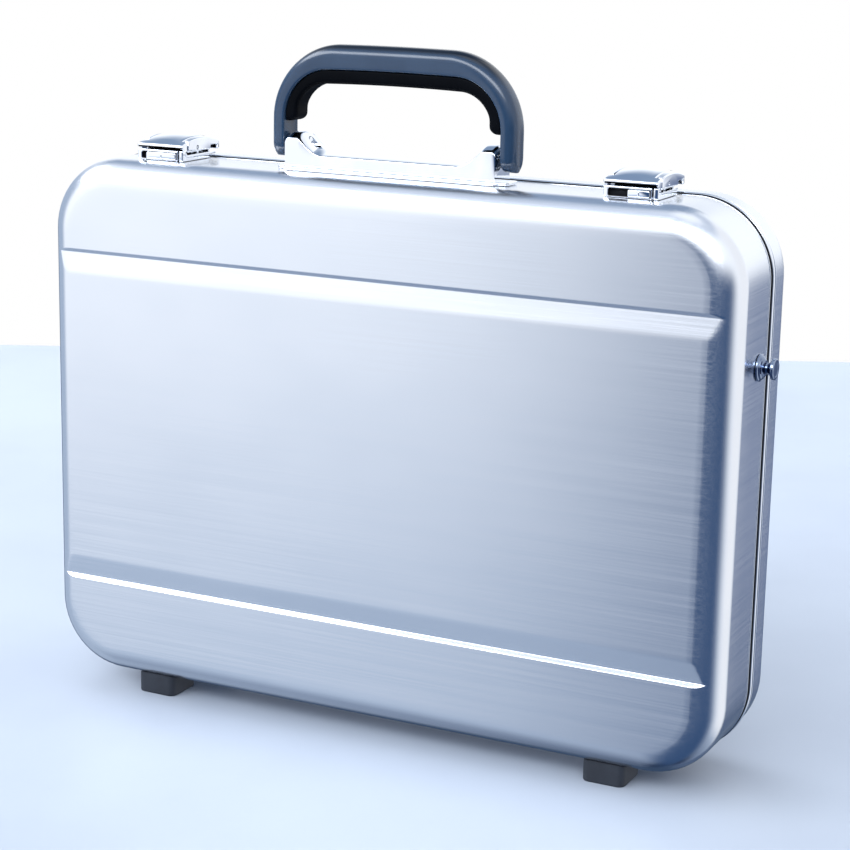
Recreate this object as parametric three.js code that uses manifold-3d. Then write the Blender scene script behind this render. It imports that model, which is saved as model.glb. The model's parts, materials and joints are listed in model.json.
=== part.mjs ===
// An aluminium attache case, standing on its feet with the handle up.
// +X runs along the case's width, +Y from the front half to the lid, +Z up.
// The origin is on the floor, under the middle of the case. Lengths are in millimetres.

import * as THREE from "three";
import { mergeVertices } from "three/addons/utils/BufferGeometryUtils.js";
import Module from "manifold-3d";

const wasm = await Module();
wasm.setup();

// ---------- Driving dimensions ----------

// Case. A depth is measured back from the front face of the base half.
const CASE_WIDTH = 457;
const CASE_HEIGHT = 334.6;
const CASE_DEPTH = 94.7;
const SEAM_DEPTH = 56.7;
const HINGE_DEPTH = 56;
const CORNER_RADIUS = 46;
const EDGE_RADIUS = 17;
const SHEET = 1.5;
const GAP = 0.3;
const CORNER_STEPS = 7;
const EDGE_STEPS = 5;

// Pressed creases across both faces: a steep wall outside, a gentle slope inside.
const CREASE_DEPTH = 2.1;
const CREASE_INSET_TOP = 59.2;
const CREASE_INSET_BOTTOM = 63.3;
const CREASE_STEEP = 2.1;
const CREASE_GENTLE = 12.5;

// Frame profiles (valances) on the rims, and the rubber seal between them.
const LIP_PROUD = 0.3;
const BEAD_PROUD = 0.9;
const LIP_WIDTH = 1.3;
const BEAD_WIDTH = 6.5;
const RIM_GAP = 2.2;
const WEB_INNER = -3.6;
const WEB_OUTER = -1.8;
const BASE_WEB_DEPTH = 46.5;
const LID_WEB_DEPTH = 68;

// Linings.
const LINING_PANEL_DEPTH = 6.2;
const LINING_THICKNESS = 3.5;
const LINING_RADIUS = 10;
const LINING_RIM = 0.7;

// Feet.
const FOOT_HEIGHT = 13;
const FOOT_WIDTH = 27;
const FOOT_RADIUS = 4.5;
const FOOT_X = 156.5;
const FRONT_FOOT_DEPTH = [10, 38];
const REAR_FOOT_DEPTH = [66, 86];
const FOOT_SOLE_EDGE = 1;
const FOOT_COLLAR = 1.4;
const SCREW_RADIUS = 1.7;
const SCREW_HEAD_RADIUS = 3.4;
const SCREW_HEAD_HEIGHTS = [2.6, 4.7];

// Handle and its bracket.
const HANDLE_DEPTH = 34.5;
const PIVOT_HEIGHT = 16.4;
const HANDLE_HALF_WIDTH = 80.9;
const HANDLE_TOP = 76.4;
const HANDLE_CORNER = 44;
const HANDLE_INNER_CORNER = 29;
const GRIP_INNER_CORNER = 20;
const HANDLE_CROWN = 1.6;
const HANDLE_THICK = 18;
const HANDLE_EDGE = 2.6;
const HANDLE_LEG = 9.4;
const HANDLE_BRIDGE = 14.6;
const GRIP_THICK = 15.6;
const GRIP_LEG = 6.5;
const GRIP_BRIDGE = 8.4;
const GRIP_END = 29.4;
const GRIP_EDGE = 1.5;
const BRACKET_HALF_WIDTH = 69.7;
const BRACKET_THICK = 24;
const BRACKET_FLAT = 8.6;
const BRACKET_FLAT_HALF = 44.3;
const EAR_INNER = 61;
const EAR_TOP = 19.8;
const EAR_END_DROP = 8;
const BRACKET_CROWN = 3;
const PIN_RADIUS = 2.4;
const PIN_END = 77.5;
const PIN_HEAD = 58.8;
const PIN_HEAD_THICK = 1.5;
const BRACKET_SCREW_X = 34;
const BRACKET_SCREW_RADIUS = 2;
const BRACKET_SCREW_HEAD_RADIUS = 3.6;
const BACKING_PLATE_HALF = [60, 9];
const BACKING_PLATE_THICK = 2;

// Latches. A dx is measured across from the latch's middle, a height from the case's top.
const LATCH_X = 155.7;
const LATCH_HALF = 16.5;
const LATCH_FRONT = 18.7;
const LATCH_REAR = 62;
const CASING_REAR = 50;
const CASING_FRONT_HEIGHT = 5.6;
const CASING_SIDE_HEIGHT = 4;
const CASING_FRONT_THICK = 4.4;
const PLATE = 1.6;
const WINDOW = { from: -13.6, to: 12, low: 0.9, high: 5.4 };
const BUTTONS = {
  left: { from: -9.9, to: 11.6 },
  right: { from: -1.6, to: 11.6 },
};

// The domed top of a latch: an arch along the depth, a shallower one across.
const DOME = { edge: 10.4, rise: 5, middle: 40.5, halfLength: 22, droopAcross: 0.35 };

// The lever turns about its pivot in a barrel; the hook hangs on a pin in the lever.
const LEVER_PIVOT = { depth: 47, height: 10.9 };
const HOOK_PIVOT = { depth: 36, height: 8 };
const LEVER_PIN_RADIUS = 1.2;
const HOOK_PIN_RADIUS = 1.1;
const BARREL_RADIUS = 4;
const LUG = { inner: 8.6, outer: 10.6, radius: 2.1, reach: 3.8 };
const SPRING_RADIUS = 2.1;
const SPRING_HALF = 6;
const LEVER_HALF = 12.9;
const LEVER_WALL = 1.5;
const LEVER_SHOULDER = 24;
const LEVER_BOTTOM = 6.2;
const LIP_BOTTOM = 7.9;
const ARM_INNER = 13.4;
const ARM_FRONT = 25.3;
const ARM_BOTTOM = 5.4;
const HOOK_PLATE_FRONT = 49.4;
const HOOK_PLATE_BOTTOM = 8;
const CLAW_THICK = 2;
const CLAW_BOTTOM = 5.1;
const STRIKE_HALF = 11;
const STRIKE_DEPTH = [57.5, 66.2];
const STRIKE_PLATE_TOP = 2.6;
const STRIKE_RIB_REAR = 59.4;

// Strap studs on the side walls.
const STUD_DEPTH = 42.3;
const STUD_HEIGHT = 242;
const STUD_REACH = 10.2;
const STUD_SHANK_RADIUS = 1.9;
const COLLAR_RADIUS = 8;

// Hinge along the bottom edge.
const HINGE_HALF = 120;
const HINGE_DROP = 3.7;
const KNUCKLE_RADIUS = 2.4;
const HINGE_PIN_RADIUS = 1.2;
const LEAF = 1.2;
const KNUCKLES = 5;

// Lid stays: two equal links on each side, which make a rhombus with the hinge.
const STAY_LENGTH = 80;
const STAY_OFFSET = 5;
const LINK_THICK = 1.8;
const LINK_HALF = 3.6;
const RIVET_RADIUS = 1.6;

// ---------- Places worked out from them ----------

const FLOOR_TO_CASE = FOOT_HEIGHT;
const CASE_TOP = FLOOR_TO_CASE + CASE_HEIGHT;
const CASE_MIDDLE = FLOOR_TO_CASE + CASE_HEIGHT / 2;
const HALF_WIDTH = CASE_WIDTH / 2;
const atDepth = (depth) => depth - CASE_DEPTH / 2;
const HINGE = { y: atDepth(HINGE_DEPTH), z: FLOOR_TO_CASE - HINGE_DROP };
const HANDLE_PIVOT = { y: atDepth(HANDLE_DEPTH), z: CASE_TOP + PIVOT_HEIGHT };
const SIDES = { left: -1, right: 1 };

// ---------- Materials ----------

const look = (color, roughness, metalness) =>
  new THREE.MeshStandardMaterial({ color, roughness, metalness });
const MATERIALS = {
  brushed: look(0xc9d2e0, 0.35, 1),
  bright: look(0xdfe5ee, 0.2, 1),
  chrome: look(0xe8ecf2, 0.08, 1),
  steel: look(0xaab0b8, 0.3, 1),
  rubber: look(0x11151c, 0.7, 0),
  handle: look(0x39465a, 0.45, 0),
  grip: look(0x0b0d12, 0.75, 0),
  lining: look(0x1a1c22, 0.9, 0),
};

// ---------- Solids ----------

function solid(positions, triangles) {
  const mesh = new wasm.Mesh({
    numProp: 3,
    vertProperties: new Float32Array(positions.flat()),
    triVerts: new Uint32Array(triangles.flat()),
  });
  const made = new wasm.Manifold(mesh);
  if (made.volume() > 0) return made;
  return solid(
    positions,
    triangles.map(([a, b, c]) => [a, c, b]),
  );
}

function solidOf(geometry) {
  const bare = geometry.clone();
  bare.deleteAttribute("normal");
  bare.deleteAttribute("uv");
  const merged = mergeVertices(bare, 1e-4);
  const made = new wasm.Mesh({
    numProp: 3,
    vertProperties: merged.attributes.position.array,
    triVerts: new Uint32Array(merged.index.array),
  });
  return new wasm.Manifold(made);
}

function geometryOf(shape) {
  const mesh = shape.getMesh();
  const geometry = new THREE.BufferGeometry();
  const position = new Float32Array(mesh.numVert * 3);
  for (let i = 0; i < mesh.numVert; i++) {
    position.set(mesh.vertProperties.subarray(i * mesh.numProp, i * mesh.numProp + 3), i * 3);
  }
  geometry.setAttribute("position", new THREE.BufferAttribute(position, 3));
  geometry.setIndex(new THREE.BufferAttribute(mesh.triVerts, 1));
  geometry.computeVertexNormals();
  return geometry;
}

function box([x0, x1], [y0, y1], [z0, z1]) {
  const geometry = new THREE.BoxGeometry(x1 - x0, y1 - y0, z1 - z0);
  return solidOf(geometry.translate((x0 + x1) / 2, (y0 + y1) / 2, (z0 + z1) / 2));
}

// A round bar along X, Y or Z from one coordinate to another; the other two coordinates are its axis.
function bar(axis, radius, [from, to], [u, v], segments = 12) {
  const geometry = new THREE.CylinderGeometry(radius, radius, to - from, segments);
  const middle = (from + to) / 2;
  if (axis === "x") geometry.rotateZ(Math.PI / 2).translate(middle, u, v);
  if (axis === "y") geometry.translate(u, middle, v);
  if (axis === "z") geometry.rotateX(Math.PI / 2).translate(u, v, middle);
  return solidOf(geometry);
}

// A turned piece whose axis is X: profile points are [radius, distance along X].
function turnedAlongX(profile, side, x0, y, z, segments = 16) {
  const points = profile.map(([radius, along]) => new THREE.Vector2(radius, along));
  const geometry = new THREE.LatheGeometry(points, segments);
  geometry.rotateZ(-Math.PI / 2);
  if (side < 0) geometry.rotateY(Math.PI);
  return solidOf(geometry.translate(side * x0, y, z));
}

// A turned piece that stands along Z: profile points are [radius, height].
function turnedAlongZ(profile, x, y, z, segments = 16) {
  const points = profile.map(([radius, height]) => new THREE.Vector2(radius, height));
  const geometry = new THREE.LatheGeometry(points, segments);
  return solidOf(geometry.rotateX(Math.PI / 2).translate(x, y, z));
}

// A flat outline in [x, z] pushed along Y, with its long edges rounded over.
function pressedAlongY(outline, [y0, y1], edge = 0, steps = 2) {
  const shape = new THREE.Shape(outline.map(([x, z]) => new THREE.Vector2(x, z)));
  const geometry = new THREE.ExtrudeGeometry(shape, {
    depth: y1 - y0 - 2 * edge,
    bevelEnabled: edge > 0,
    bevelThickness: edge,
    bevelSize: edge,
    bevelOffset: -edge,
    bevelSegments: steps,
  });
  return solidOf(geometry.rotateX(Math.PI / 2).translate(0, y1 - edge, 0));
}

// A flat outline in [y, z] pushed along X.
function pressedAlongX(outline, [x0, x1]) {
  const shape = new THREE.Shape(outline.map(([y, z]) => new THREE.Vector2(y, z)));
  const geometry = new THREE.ExtrudeGeometry(shape, { depth: x1 - x0, bevelEnabled: false });
  geometry.rotateX(Math.PI / 2).rotateZ(Math.PI / 2);
  return solidOf(geometry.translate(x0, 0, 0));
}

// A flat outline in [x, y] pushed along Z, with its long edges rounded over.
function pressedAlongZ(outline, [z0, z1], edge = 0, steps = 2) {
  const shape = new THREE.Shape(outline.map(([x, y]) => new THREE.Vector2(x, y)));
  const geometry = new THREE.ExtrudeGeometry(shape, {
    depth: z1 - z0 - 2 * edge,
    bevelEnabled: edge > 0,
    bevelThickness: edge,
    bevelSize: edge,
    bevelOffset: -edge,
    bevelSegments: steps,
  });
  return solidOf(geometry.translate(0, 0, z0 + edge));
}

function roundedRectangle([x0, x1], [y0, y1], radius, steps = 4) {
  const points = [];
  const corners = [
    [x1 - radius, y1 - radius],
    [x0 + radius, y1 - radius],
    [x0 + radius, y0 + radius],
    [x1 - radius, y0 + radius],
  ];
  corners.forEach(([cx, cy], quarter) => {
    for (let step = 0; step <= steps; step++) {
      const angle = (quarter + step / steps) * (Math.PI / 2);
      points.push([cx + radius * Math.cos(angle), cy + radius * Math.sin(angle)]);
    }
  });
  return points;
}

// A range on the right-hand side, mirrored to the given side and put in rising order.
const mirrored = (side, [near, far]) => [side * near, side * far].sort((a, b) => a - b);

// ---------- The case's outline and what is lofted round it ----------

// One turn round the case in [x, z], moved outward by an offset.
function caseOutline(offset) {
  const points = [];
  const centreX = HALF_WIDTH - CORNER_RADIUS;
  const centreZ = CASE_HEIGHT / 2 - CORNER_RADIUS;
  const quarters = [[1, 1], [-1, 1], [-1, -1], [1, -1]];
  quarters.forEach(([signX, signZ], quarter) => {
    for (let step = 0; step <= CORNER_STEPS; step++) {
      const angle = (quarter + step / CORNER_STEPS) * (Math.PI / 2);
      const radius = CORNER_RADIUS + offset;
      const x = signX * centreX + radius * Math.cos(angle);
      const z = CASE_MIDDLE + signZ * centreZ + radius * Math.sin(angle);
      points.push([x, z]);
    }
  });
  return points;
}

// Rings at [offset, depth] joined in order. A closed profile makes a tube, an open one is capped flat.
function loft(profile, closed) {
  const positions = [];
  const triangles = [];
  const count = caseOutline(0).length;
  for (const [offset, depth] of profile) {
    for (const [x, z] of caseOutline(offset)) positions.push([x, atDepth(depth), z]);
  }
  const bands = closed ? profile.length : profile.length - 1;
  for (let band = 0; band < bands; band++) {
    const next = (band + 1) % profile.length;
    for (let i = 0; i < count; i++) {
      const j = (i + 1) % count;
      const [a, b, c, d] = [band * count + i, band * count + j, next * count + j, next * count + i];
      triangles.push([a, b, c], [a, c, d]);
    }
  }
  if (!closed) {
    const last = (profile.length - 1) * count;
    for (let i = 1; i < count - 1; i++) {
      triangles.push([0, i + 1, i], [last, last + i, last + i + 1]);
    }
  }
  return solid(positions, triangles);
}

// A solid half of the case: its face at faceDepth, its rounded edge, and its wall up to rimDepth.
// For the lid the depths run forward from the back face.
function halfBlock(side, inset, faceDepth, rimDepth, radius) {
  const profile = [];
  for (let step = 0; step <= EDGE_STEPS; step++) {
    const angle = (step / EDGE_STEPS) * (Math.PI / 2);
    profile.push([-inset - radius * (1 - Math.sin(angle)), faceDepth + radius * (1 - Math.cos(angle))]);
  }
  profile.push([-inset, rimDepth]);
  const placed = profile.map(([offset, depth]) => [offset, side === "base" ? depth : CASE_DEPTH - depth]);
  return loft(placed, false);
}

// A long wedge along X that presses a crease, with its sharp edge `depth` behind the face.
function creaseWedge(side, end, depth) {
  const reach = depth + 2;
  const outward = end === "top" ? 1 : -1;
  const z = end === "top" ? CASE_TOP - CREASE_INSET_TOP : FLOOR_TO_CASE + CREASE_INSET_BOTTOM;
  const flip = (d) => atDepth(side === "base" ? d : CASE_DEPTH - d);
  const outline = [
    [flip(depth), z],
    [flip(depth - reach), z + outward * CREASE_STEEP * (reach / CREASE_DEPTH)],
    [flip(depth - reach), z - outward * CREASE_GENTLE * (reach / CREASE_DEPTH)],
  ];
  return pressedAlongX(outline, [-HALF_WIDTH, HALF_WIDTH]);
}

function caseShell(side, rimDepth) {
  let outside = halfBlock(side, 0, 0, rimDepth, EDGE_RADIUS);
  let inside = halfBlock(side, SHEET, SHEET, rimDepth + 1, EDGE_RADIUS - SHEET);
  for (const end of ["top", "bottom"]) {
    outside = outside.subtract(creaseWedge(side, end, CREASE_DEPTH));
    inside = inside.subtract(creaseWedge(side, end, CREASE_DEPTH + SHEET));
  }
  return outside.subtract(inside);
}

function lining(side, rimDepth) {
  const inset = SHEET + GAP;
  const outside = halfBlock(side, inset, LINING_PANEL_DEPTH, rimDepth, LINING_RADIUS);
  const inside = halfBlock(
    side,
    inset + LINING_THICKNESS,
    LINING_PANEL_DEPTH + LINING_THICKNESS,
    rimDepth + 1,
    LINING_RADIUS - LINING_THICKNESS,
  );
  return outside.subtract(inside);
}

const BASE_RIM = SEAM_DEPTH - 0.5 * RIM_GAP - LIP_WIDTH - GAP;
const LID_RIM = SEAM_DEPTH + 0.5 * RIM_GAP + GAP + BEAD_WIDTH + GAP;

function baseValance() {
  const edge = SEAM_DEPTH - 0.5 * RIM_GAP;
  return loft(
    [
      [LIP_PROUD, edge - LIP_WIDTH],
      [LIP_PROUD, edge],
      [WEB_INNER, edge],
      [WEB_INNER, BASE_WEB_DEPTH],
      [WEB_OUTER, BASE_WEB_DEPTH],
      [WEB_OUTER, edge - LIP_WIDTH],
    ],
    true,
  );
}

function lidValance() {
  const edge = SEAM_DEPTH + 0.5 * RIM_GAP + GAP;
  return loft(
    [
      [BEAD_PROUD, edge],
      [BEAD_PROUD, edge + BEAD_WIDTH],
      [WEB_OUTER, edge + BEAD_WIDTH],
      [WEB_OUTER, LID_WEB_DEPTH],
      [WEB_INNER, LID_WEB_DEPTH],
      [WEB_INNER, edge],
    ],
    true,
  );
}

function seamSeal() {
  const front = SEAM_DEPTH - 0.5 * RIM_GAP + GAP;
  const back = SEAM_DEPTH + 0.5 * RIM_GAP;
  return loft([[-0.9, front], [-0.9, back], [-3.3, back], [-3.3, front]], true);
}

// ---------- Feet ----------

const footMiddle = ([front, back]) => atDepth((front + back) / 2);

// A rubber block whose top is hollowed to the shell's rounded edge, with a sunk hole for its screw.
function foot(x, depths, halfSide) {
  const across = [x - FOOT_WIDTH / 2, x + FOOT_WIDTH / 2];
  const outline = roundedRectangle(across, depths.map(atDepth), FOOT_RADIUS);
  const place = [x, footMiddle(depths)];
  const block = pressedAlongZ(outline, [0, FOOT_HEIGHT + 4], FOOT_SOLE_EDGE);
  const shellSpace = halfBlock(halfSide, -GAP, -GAP, SEAM_DEPTH, EDGE_RADIUS + GAP);
  const hole = bar("z", SCREW_RADIUS + GAP, [-1, FOOT_HEIGHT + 5], place);
  const sink = bar("z", SCREW_HEAD_RADIUS + GAP, [-1, SCREW_HEAD_HEIGHTS[1] + GAP], place);
  const above = box(across, depths.map(atDepth), [FOOT_HEIGHT + FOOT_COLLAR, FOOT_HEIGHT + 5]);
  return block.subtract(shellSpace).subtract(hole).subtract(sink).subtract(above);
}

function footScrew(x, depths) {
  const [headBottom, headTop] = SCREW_HEAD_HEIGHTS;
  const tip = FOOT_HEIGHT + SHEET + 2;
  const profile = [
    [0, headBottom],
    [SCREW_HEAD_RADIUS, headBottom],
    [SCREW_HEAD_RADIUS, headTop],
    [SCREW_RADIUS, headTop],
    [SCREW_RADIUS, tip],
    [0, tip],
  ];
  return turnedAlongZ(profile, x, footMiddle(depths), 0, 12);
}

// ---------- Handle ----------

// The arch of the handle in [x, z] from the left end up, over and down to the right end.
function arch(halfWidth, top, radius, bottom, steps = 7) {
  const points = [[-halfWidth, bottom]];
  const centreX = halfWidth - radius;
  const centreZ = top - radius;
  for (const side of [-1, 1]) {
    for (let step = 0; step <= steps; step++) {
      const turn = (step / steps) * (Math.PI / 2);
      const angle = side < 0 ? Math.PI - turn : Math.PI / 2 - turn;
      const x = side * centreX + radius * Math.cos(angle);
      points.push([x, centreZ + radius * Math.sin(angle) - HANDLE_CROWN * (x / halfWidth) ** 2]);
    }
  }
  points.push([halfWidth, bottom]);
  return points;
}

function handleShell() {
  const { y, z } = HANDLE_PIVOT;
  const half = HANDLE_THICK / 2;
  const bottom = z - half - 1;
  const top = CASE_TOP + HANDLE_TOP;
  const outer = arch(HANDLE_HALF_WIDTH, top, HANDLE_CORNER, bottom);
  const inner = arch(HANDLE_HALF_WIDTH - HANDLE_LEG, top - HANDLE_BRIDGE, HANDLE_INNER_CORNER, bottom);
  const body = pressedAlongY([...outer, ...inner.reverse()], [y - half, y + half], HANDLE_EDGE);
  const width = [-HANDLE_HALF_WIDTH, HANDLE_HALF_WIDTH];
  const legEnds = bar("x", half, width, [y, z], 20);
  let made = body.intersect(box(width, [y - half, y + half], [z, top]).add(legEnds));
  for (const side of Object.values(SIDES)) {
    const ends = mirrored(side, [EAR_INNER, PIN_END + GAP]);
    made = made.subtract(bar("x", PIN_RADIUS + GAP, ends, [y, z]));
  }
  return made;
}

function handleGrip() {
  const top = CASE_TOP + HANDLE_TOP - HANDLE_BRIDGE - GAP;
  const bottom = CASE_TOP + GRIP_END;
  const halfWidth = HANDLE_HALF_WIDTH - HANDLE_LEG - GAP;
  const outer = arch(halfWidth, top, HANDLE_INNER_CORNER - GAP, bottom);
  const inner = arch(halfWidth - GRIP_LEG, top - GRIP_BRIDGE, GRIP_INNER_CORNER, bottom);
  const half = GRIP_THICK / 2;
  const { y } = HANDLE_PIVOT;
  return pressedAlongY([...outer, ...inner.reverse()], [y - half, y + half], GRIP_EDGE);
}

// Height of the bracket's front edge above the case at x: low in the middle, with an ear at each end.
function bracketHeight(x) {
  const share = (Math.abs(x) - BRACKET_FLAT_HALF) / (EAR_INNER - BRACKET_FLAT_HALF);
  const climbed = 1 - Math.cos((Math.min(Math.max(share, 0), 1) * Math.PI) / 2);
  return BRACKET_FLAT + (EAR_TOP - BRACKET_FLAT) * climbed;
}

// Sections across the bracket, from its left end to its right end.
function bracketStations() {
  const riseSteps = 7;
  const right = [BRACKET_FLAT_HALF / 2];
  for (let step = 0; step <= riseSteps; step++) {
    right.push(BRACKET_FLAT_HALF + ((EAR_INNER - BRACKET_FLAT_HALF) * step) / riseSteps);
  }
  right.push(BRACKET_HALF_WIDTH - 1.4, BRACKET_HALF_WIDTH);
  return [...right.slice().reverse().map((x) => -x), ...right];
}

function handleBracket() {
  const crownSteps = 6;
  const half = BRACKET_THICK / 2;
  const bottom = CASE_TOP + GAP;
  const positions = [];
  const triangles = [];
  const stations = bracketStations();
  stations.forEach((x, index) => {
    const isEnd = index === 0 || index === stations.length - 1;
    const edge = CASE_TOP + bracketHeight(x) - (isEnd ? EAR_END_DROP : 0);
    for (let step = 0; step <= crownSteps; step++) {
      const across = (2 * step) / crownSteps - 1;
      const crown = BRACKET_CROWN * (1 - across ** 2);
      positions.push([x, HANDLE_PIVOT.y + across * half, edge + crown]);
    }
    positions.push([x, HANDLE_PIVOT.y + half, bottom], [x, HANDLE_PIVOT.y - half, bottom]);
  });
  const count = crownSteps + 3;
  for (let ring = 0; ring < stations.length - 1; ring++) {
    for (let i = 0; i < count; i++) {
      const j = (i + 1) % count;
      const [a, b] = [ring * count + i, ring * count + j];
      triangles.push([a, b, b + count], [a, b + count, a + count]);
    }
  }
  const last = (stations.length - 1) * count;
  for (let i = 1; i < count - 1; i++) {
    triangles.push([0, i + 1, i], [last, last + i, last + i + 1]);
  }
  let made = solid(positions, triangles);
  const { y, z } = HANDLE_PIVOT;
  const headSpace = PIN_RADIUS + 1 + GAP;
  for (const side of Object.values(SIDES)) {
    const through = mirrored(side, [BRACKET_FLAT_HALF, BRACKET_HALF_WIDTH + 1]);
    made = made.subtract(bar("x", PIN_RADIUS + GAP, through, [y, z]));
    const seat = mirrored(side, [BRACKET_FLAT_HALF, PIN_HEAD + GAP]);
    made = made.subtract(bar("x", headSpace, seat, [y, z]));
    const screwHole = [CASE_TOP - 1, CASE_TOP + BRACKET_FLAT - 2];
    const place = [side * BRACKET_SCREW_X, y];
    made = made.subtract(bar("z", BRACKET_SCREW_RADIUS + GAP, screwHole, place));
  }
  return made;
}

function handlePin(side) {
  const head = PIN_RADIUS + 1;
  const profile = [
    [0, PIN_HEAD - PIN_HEAD_THICK],
    [head, PIN_HEAD - PIN_HEAD_THICK],
    [head, PIN_HEAD],
    [PIN_RADIUS, PIN_HEAD],
    [PIN_RADIUS, PIN_END],
    [0, PIN_END],
  ];
  return turnedAlongX(profile, side, 0, HANDLE_PIVOT.y, HANDLE_PIVOT.z, 12);
}

const PLATE_TOP = CASE_TOP - SHEET - GAP;

function backingPlate() {
  const [halfX, halfY] = BACKING_PLATE_HALF;
  const { y } = HANDLE_PIVOT;
  const outline = roundedRectangle([-halfX, halfX], [y - halfY, y + halfY], 4, 3);
  let made = pressedAlongZ(outline, [PLATE_TOP - BACKING_PLATE_THICK, PLATE_TOP]);
  for (const side of Object.values(SIDES)) {
    const through = [PLATE_TOP - 5, PLATE_TOP + 5];
    made = made.subtract(bar("z", BRACKET_SCREW_RADIUS + GAP, through, [side * BRACKET_SCREW_X, y]));
  }
  return made;
}

function bracketScrew(side) {
  const headTop = PLATE_TOP - BACKING_PLATE_THICK - GAP;
  const headBottom = headTop - 2;
  const tip = CASE_TOP + BRACKET_FLAT - 2.3;
  const profile = [
    [0, headBottom],
    [BRACKET_SCREW_HEAD_RADIUS, headBottom],
    [BRACKET_SCREW_HEAD_RADIUS, headTop],
    [BRACKET_SCREW_RADIUS, headTop],
    [BRACKET_SCREW_RADIUS, tip],
    [0, tip],
  ];
  return turnedAlongZ(profile, side * BRACKET_SCREW_X, HANDLE_PIVOT.y, 0, 12);
}

// ---------- Latches ----------

function domeHeight(dx, depth) {
  const along = (depth - DOME.middle) / DOME.halfLength;
  const across = dx / LATCH_HALF;
  return DOME.edge + DOME.rise * (1 - along ** 2) * (1 - DOME.droopAcross * across ** 2);
}

// A block whose top follows the dome, `under` below it.
function domeBlock(side, [dx0, dx1], [depth0, depth1], bottom, under = 0) {
  const stepsX = 4;
  const stepsY = Math.max(2, Math.round((depth1 - depth0) / 6));
  const positions = [];
  const triangles = [];
  const rowLength = stepsX + 1;
  for (const level of ["top", "bottom"]) {
    for (let j = 0; j <= stepsY; j++) {
      for (let i = 0; i <= stepsX; i++) {
        const dx = dx0 + ((dx1 - dx0) * i) / stepsX;
        const depth = depth0 + ((depth1 - depth0) * j) / stepsY;
        const height = level === "top" ? domeHeight(dx, depth) - under : bottom;
        positions.push([side * LATCH_X + dx, atDepth(depth), CASE_TOP + height]);
      }
    }
  }
  const base = rowLength * (stepsY + 1);
  const quad = (a, b, c, d) => triangles.push([a, b, c], [a, c, d]);
  for (let j = 0; j < stepsY; j++) {
    for (let i = 0; i < stepsX; i++) {
      const a = j * rowLength + i;
      quad(a, a + 1, a + 1 + rowLength, a + rowLength);
      quad(base + a + rowLength, base + a + 1 + rowLength, base + a + 1, base + a);
    }
  }
  for (let i = 0; i < stepsX; i++) {
    const far = stepsY * rowLength + i;
    quad(i + 1, i, base + i, base + i + 1);
    quad(far, far + 1, base + far + 1, base + far);
  }
  for (let j = 0; j < stepsY; j++) {
    const near = j * rowLength;
    const far = near + stepsX;
    quad(near, near + rowLength, base + near + rowLength, base + near);
    quad(far + rowLength, far, base + far, base + far + rowLength);
  }
  return solid(positions, triangles);
}

const latchBox = (side, [dx0, dx1], depths, heights) =>
  box(
    [side * LATCH_X + dx0, side * LATCH_X + dx1],
    depths.map(atDepth),
    heights.map((height) => CASE_TOP + height),
  );

function latchBar(side, radius, [dx0, dx1], { depth, height }, segments = 12) {
  const across = [side * LATCH_X + dx0, side * LATCH_X + dx1];
  return bar("x", radius, across, [atDepth(depth), CASE_TOP + height], segments);
}

// The casing: a floor, a front bar with the button's window, low sides, and two lugs for the lever.
function latchCase(side) {
  const frontInside = LATCH_FRONT + CASING_FRONT_THICK;
  const floorTop = GAP + 1.2;
  const full = [-LATCH_HALF, LATCH_HALF];
  const between = [-LATCH_HALF + PLATE, LATCH_HALF - PLATE];
  const above = CASING_FRONT_HEIGHT + 1;
  let made = latchBox(side, full, [LATCH_FRONT, CASING_REAR], [GAP, CASING_FRONT_HEIGHT]);
  made = made.subtract(latchBox(side, between, [frontInside, CASING_REAR + 1], [floorTop, above]));
  const sidesCut = latchBox(
    side,
    [-LATCH_HALF - 1, LATCH_HALF + 1],
    [frontInside, CASING_REAR + 1],
    [CASING_SIDE_HEIGHT, above],
  );
  made = made.subtract(sidesCut);
  const windowDepths = [LATCH_FRONT - 1, LATCH_FRONT + 3.2];
  const opening = latchBox(side, [WINDOW.from, WINDOW.to], windowDepths, [WINDOW.low, WINDOW.high]);
  made = made.subtract(opening);
  const { depth, height } = LEVER_PIVOT;
  for (const hand of Object.values(SIDES)) {
    const across = mirrored(hand, [LUG.inner, LUG.outer]);
    const post = latchBox(side, across, [depth - LUG.reach, depth - 0.4], [GAP + 1, height]);
    made = made.add(post).add(latchBar(side, LUG.radius, across, LEVER_PIVOT));
  }
  return made.subtract(latchBar(side, LEVER_PIN_RADIUS + GAP, [-LEVER_HALF, LEVER_HALF], LEVER_PIVOT));
}

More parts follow.
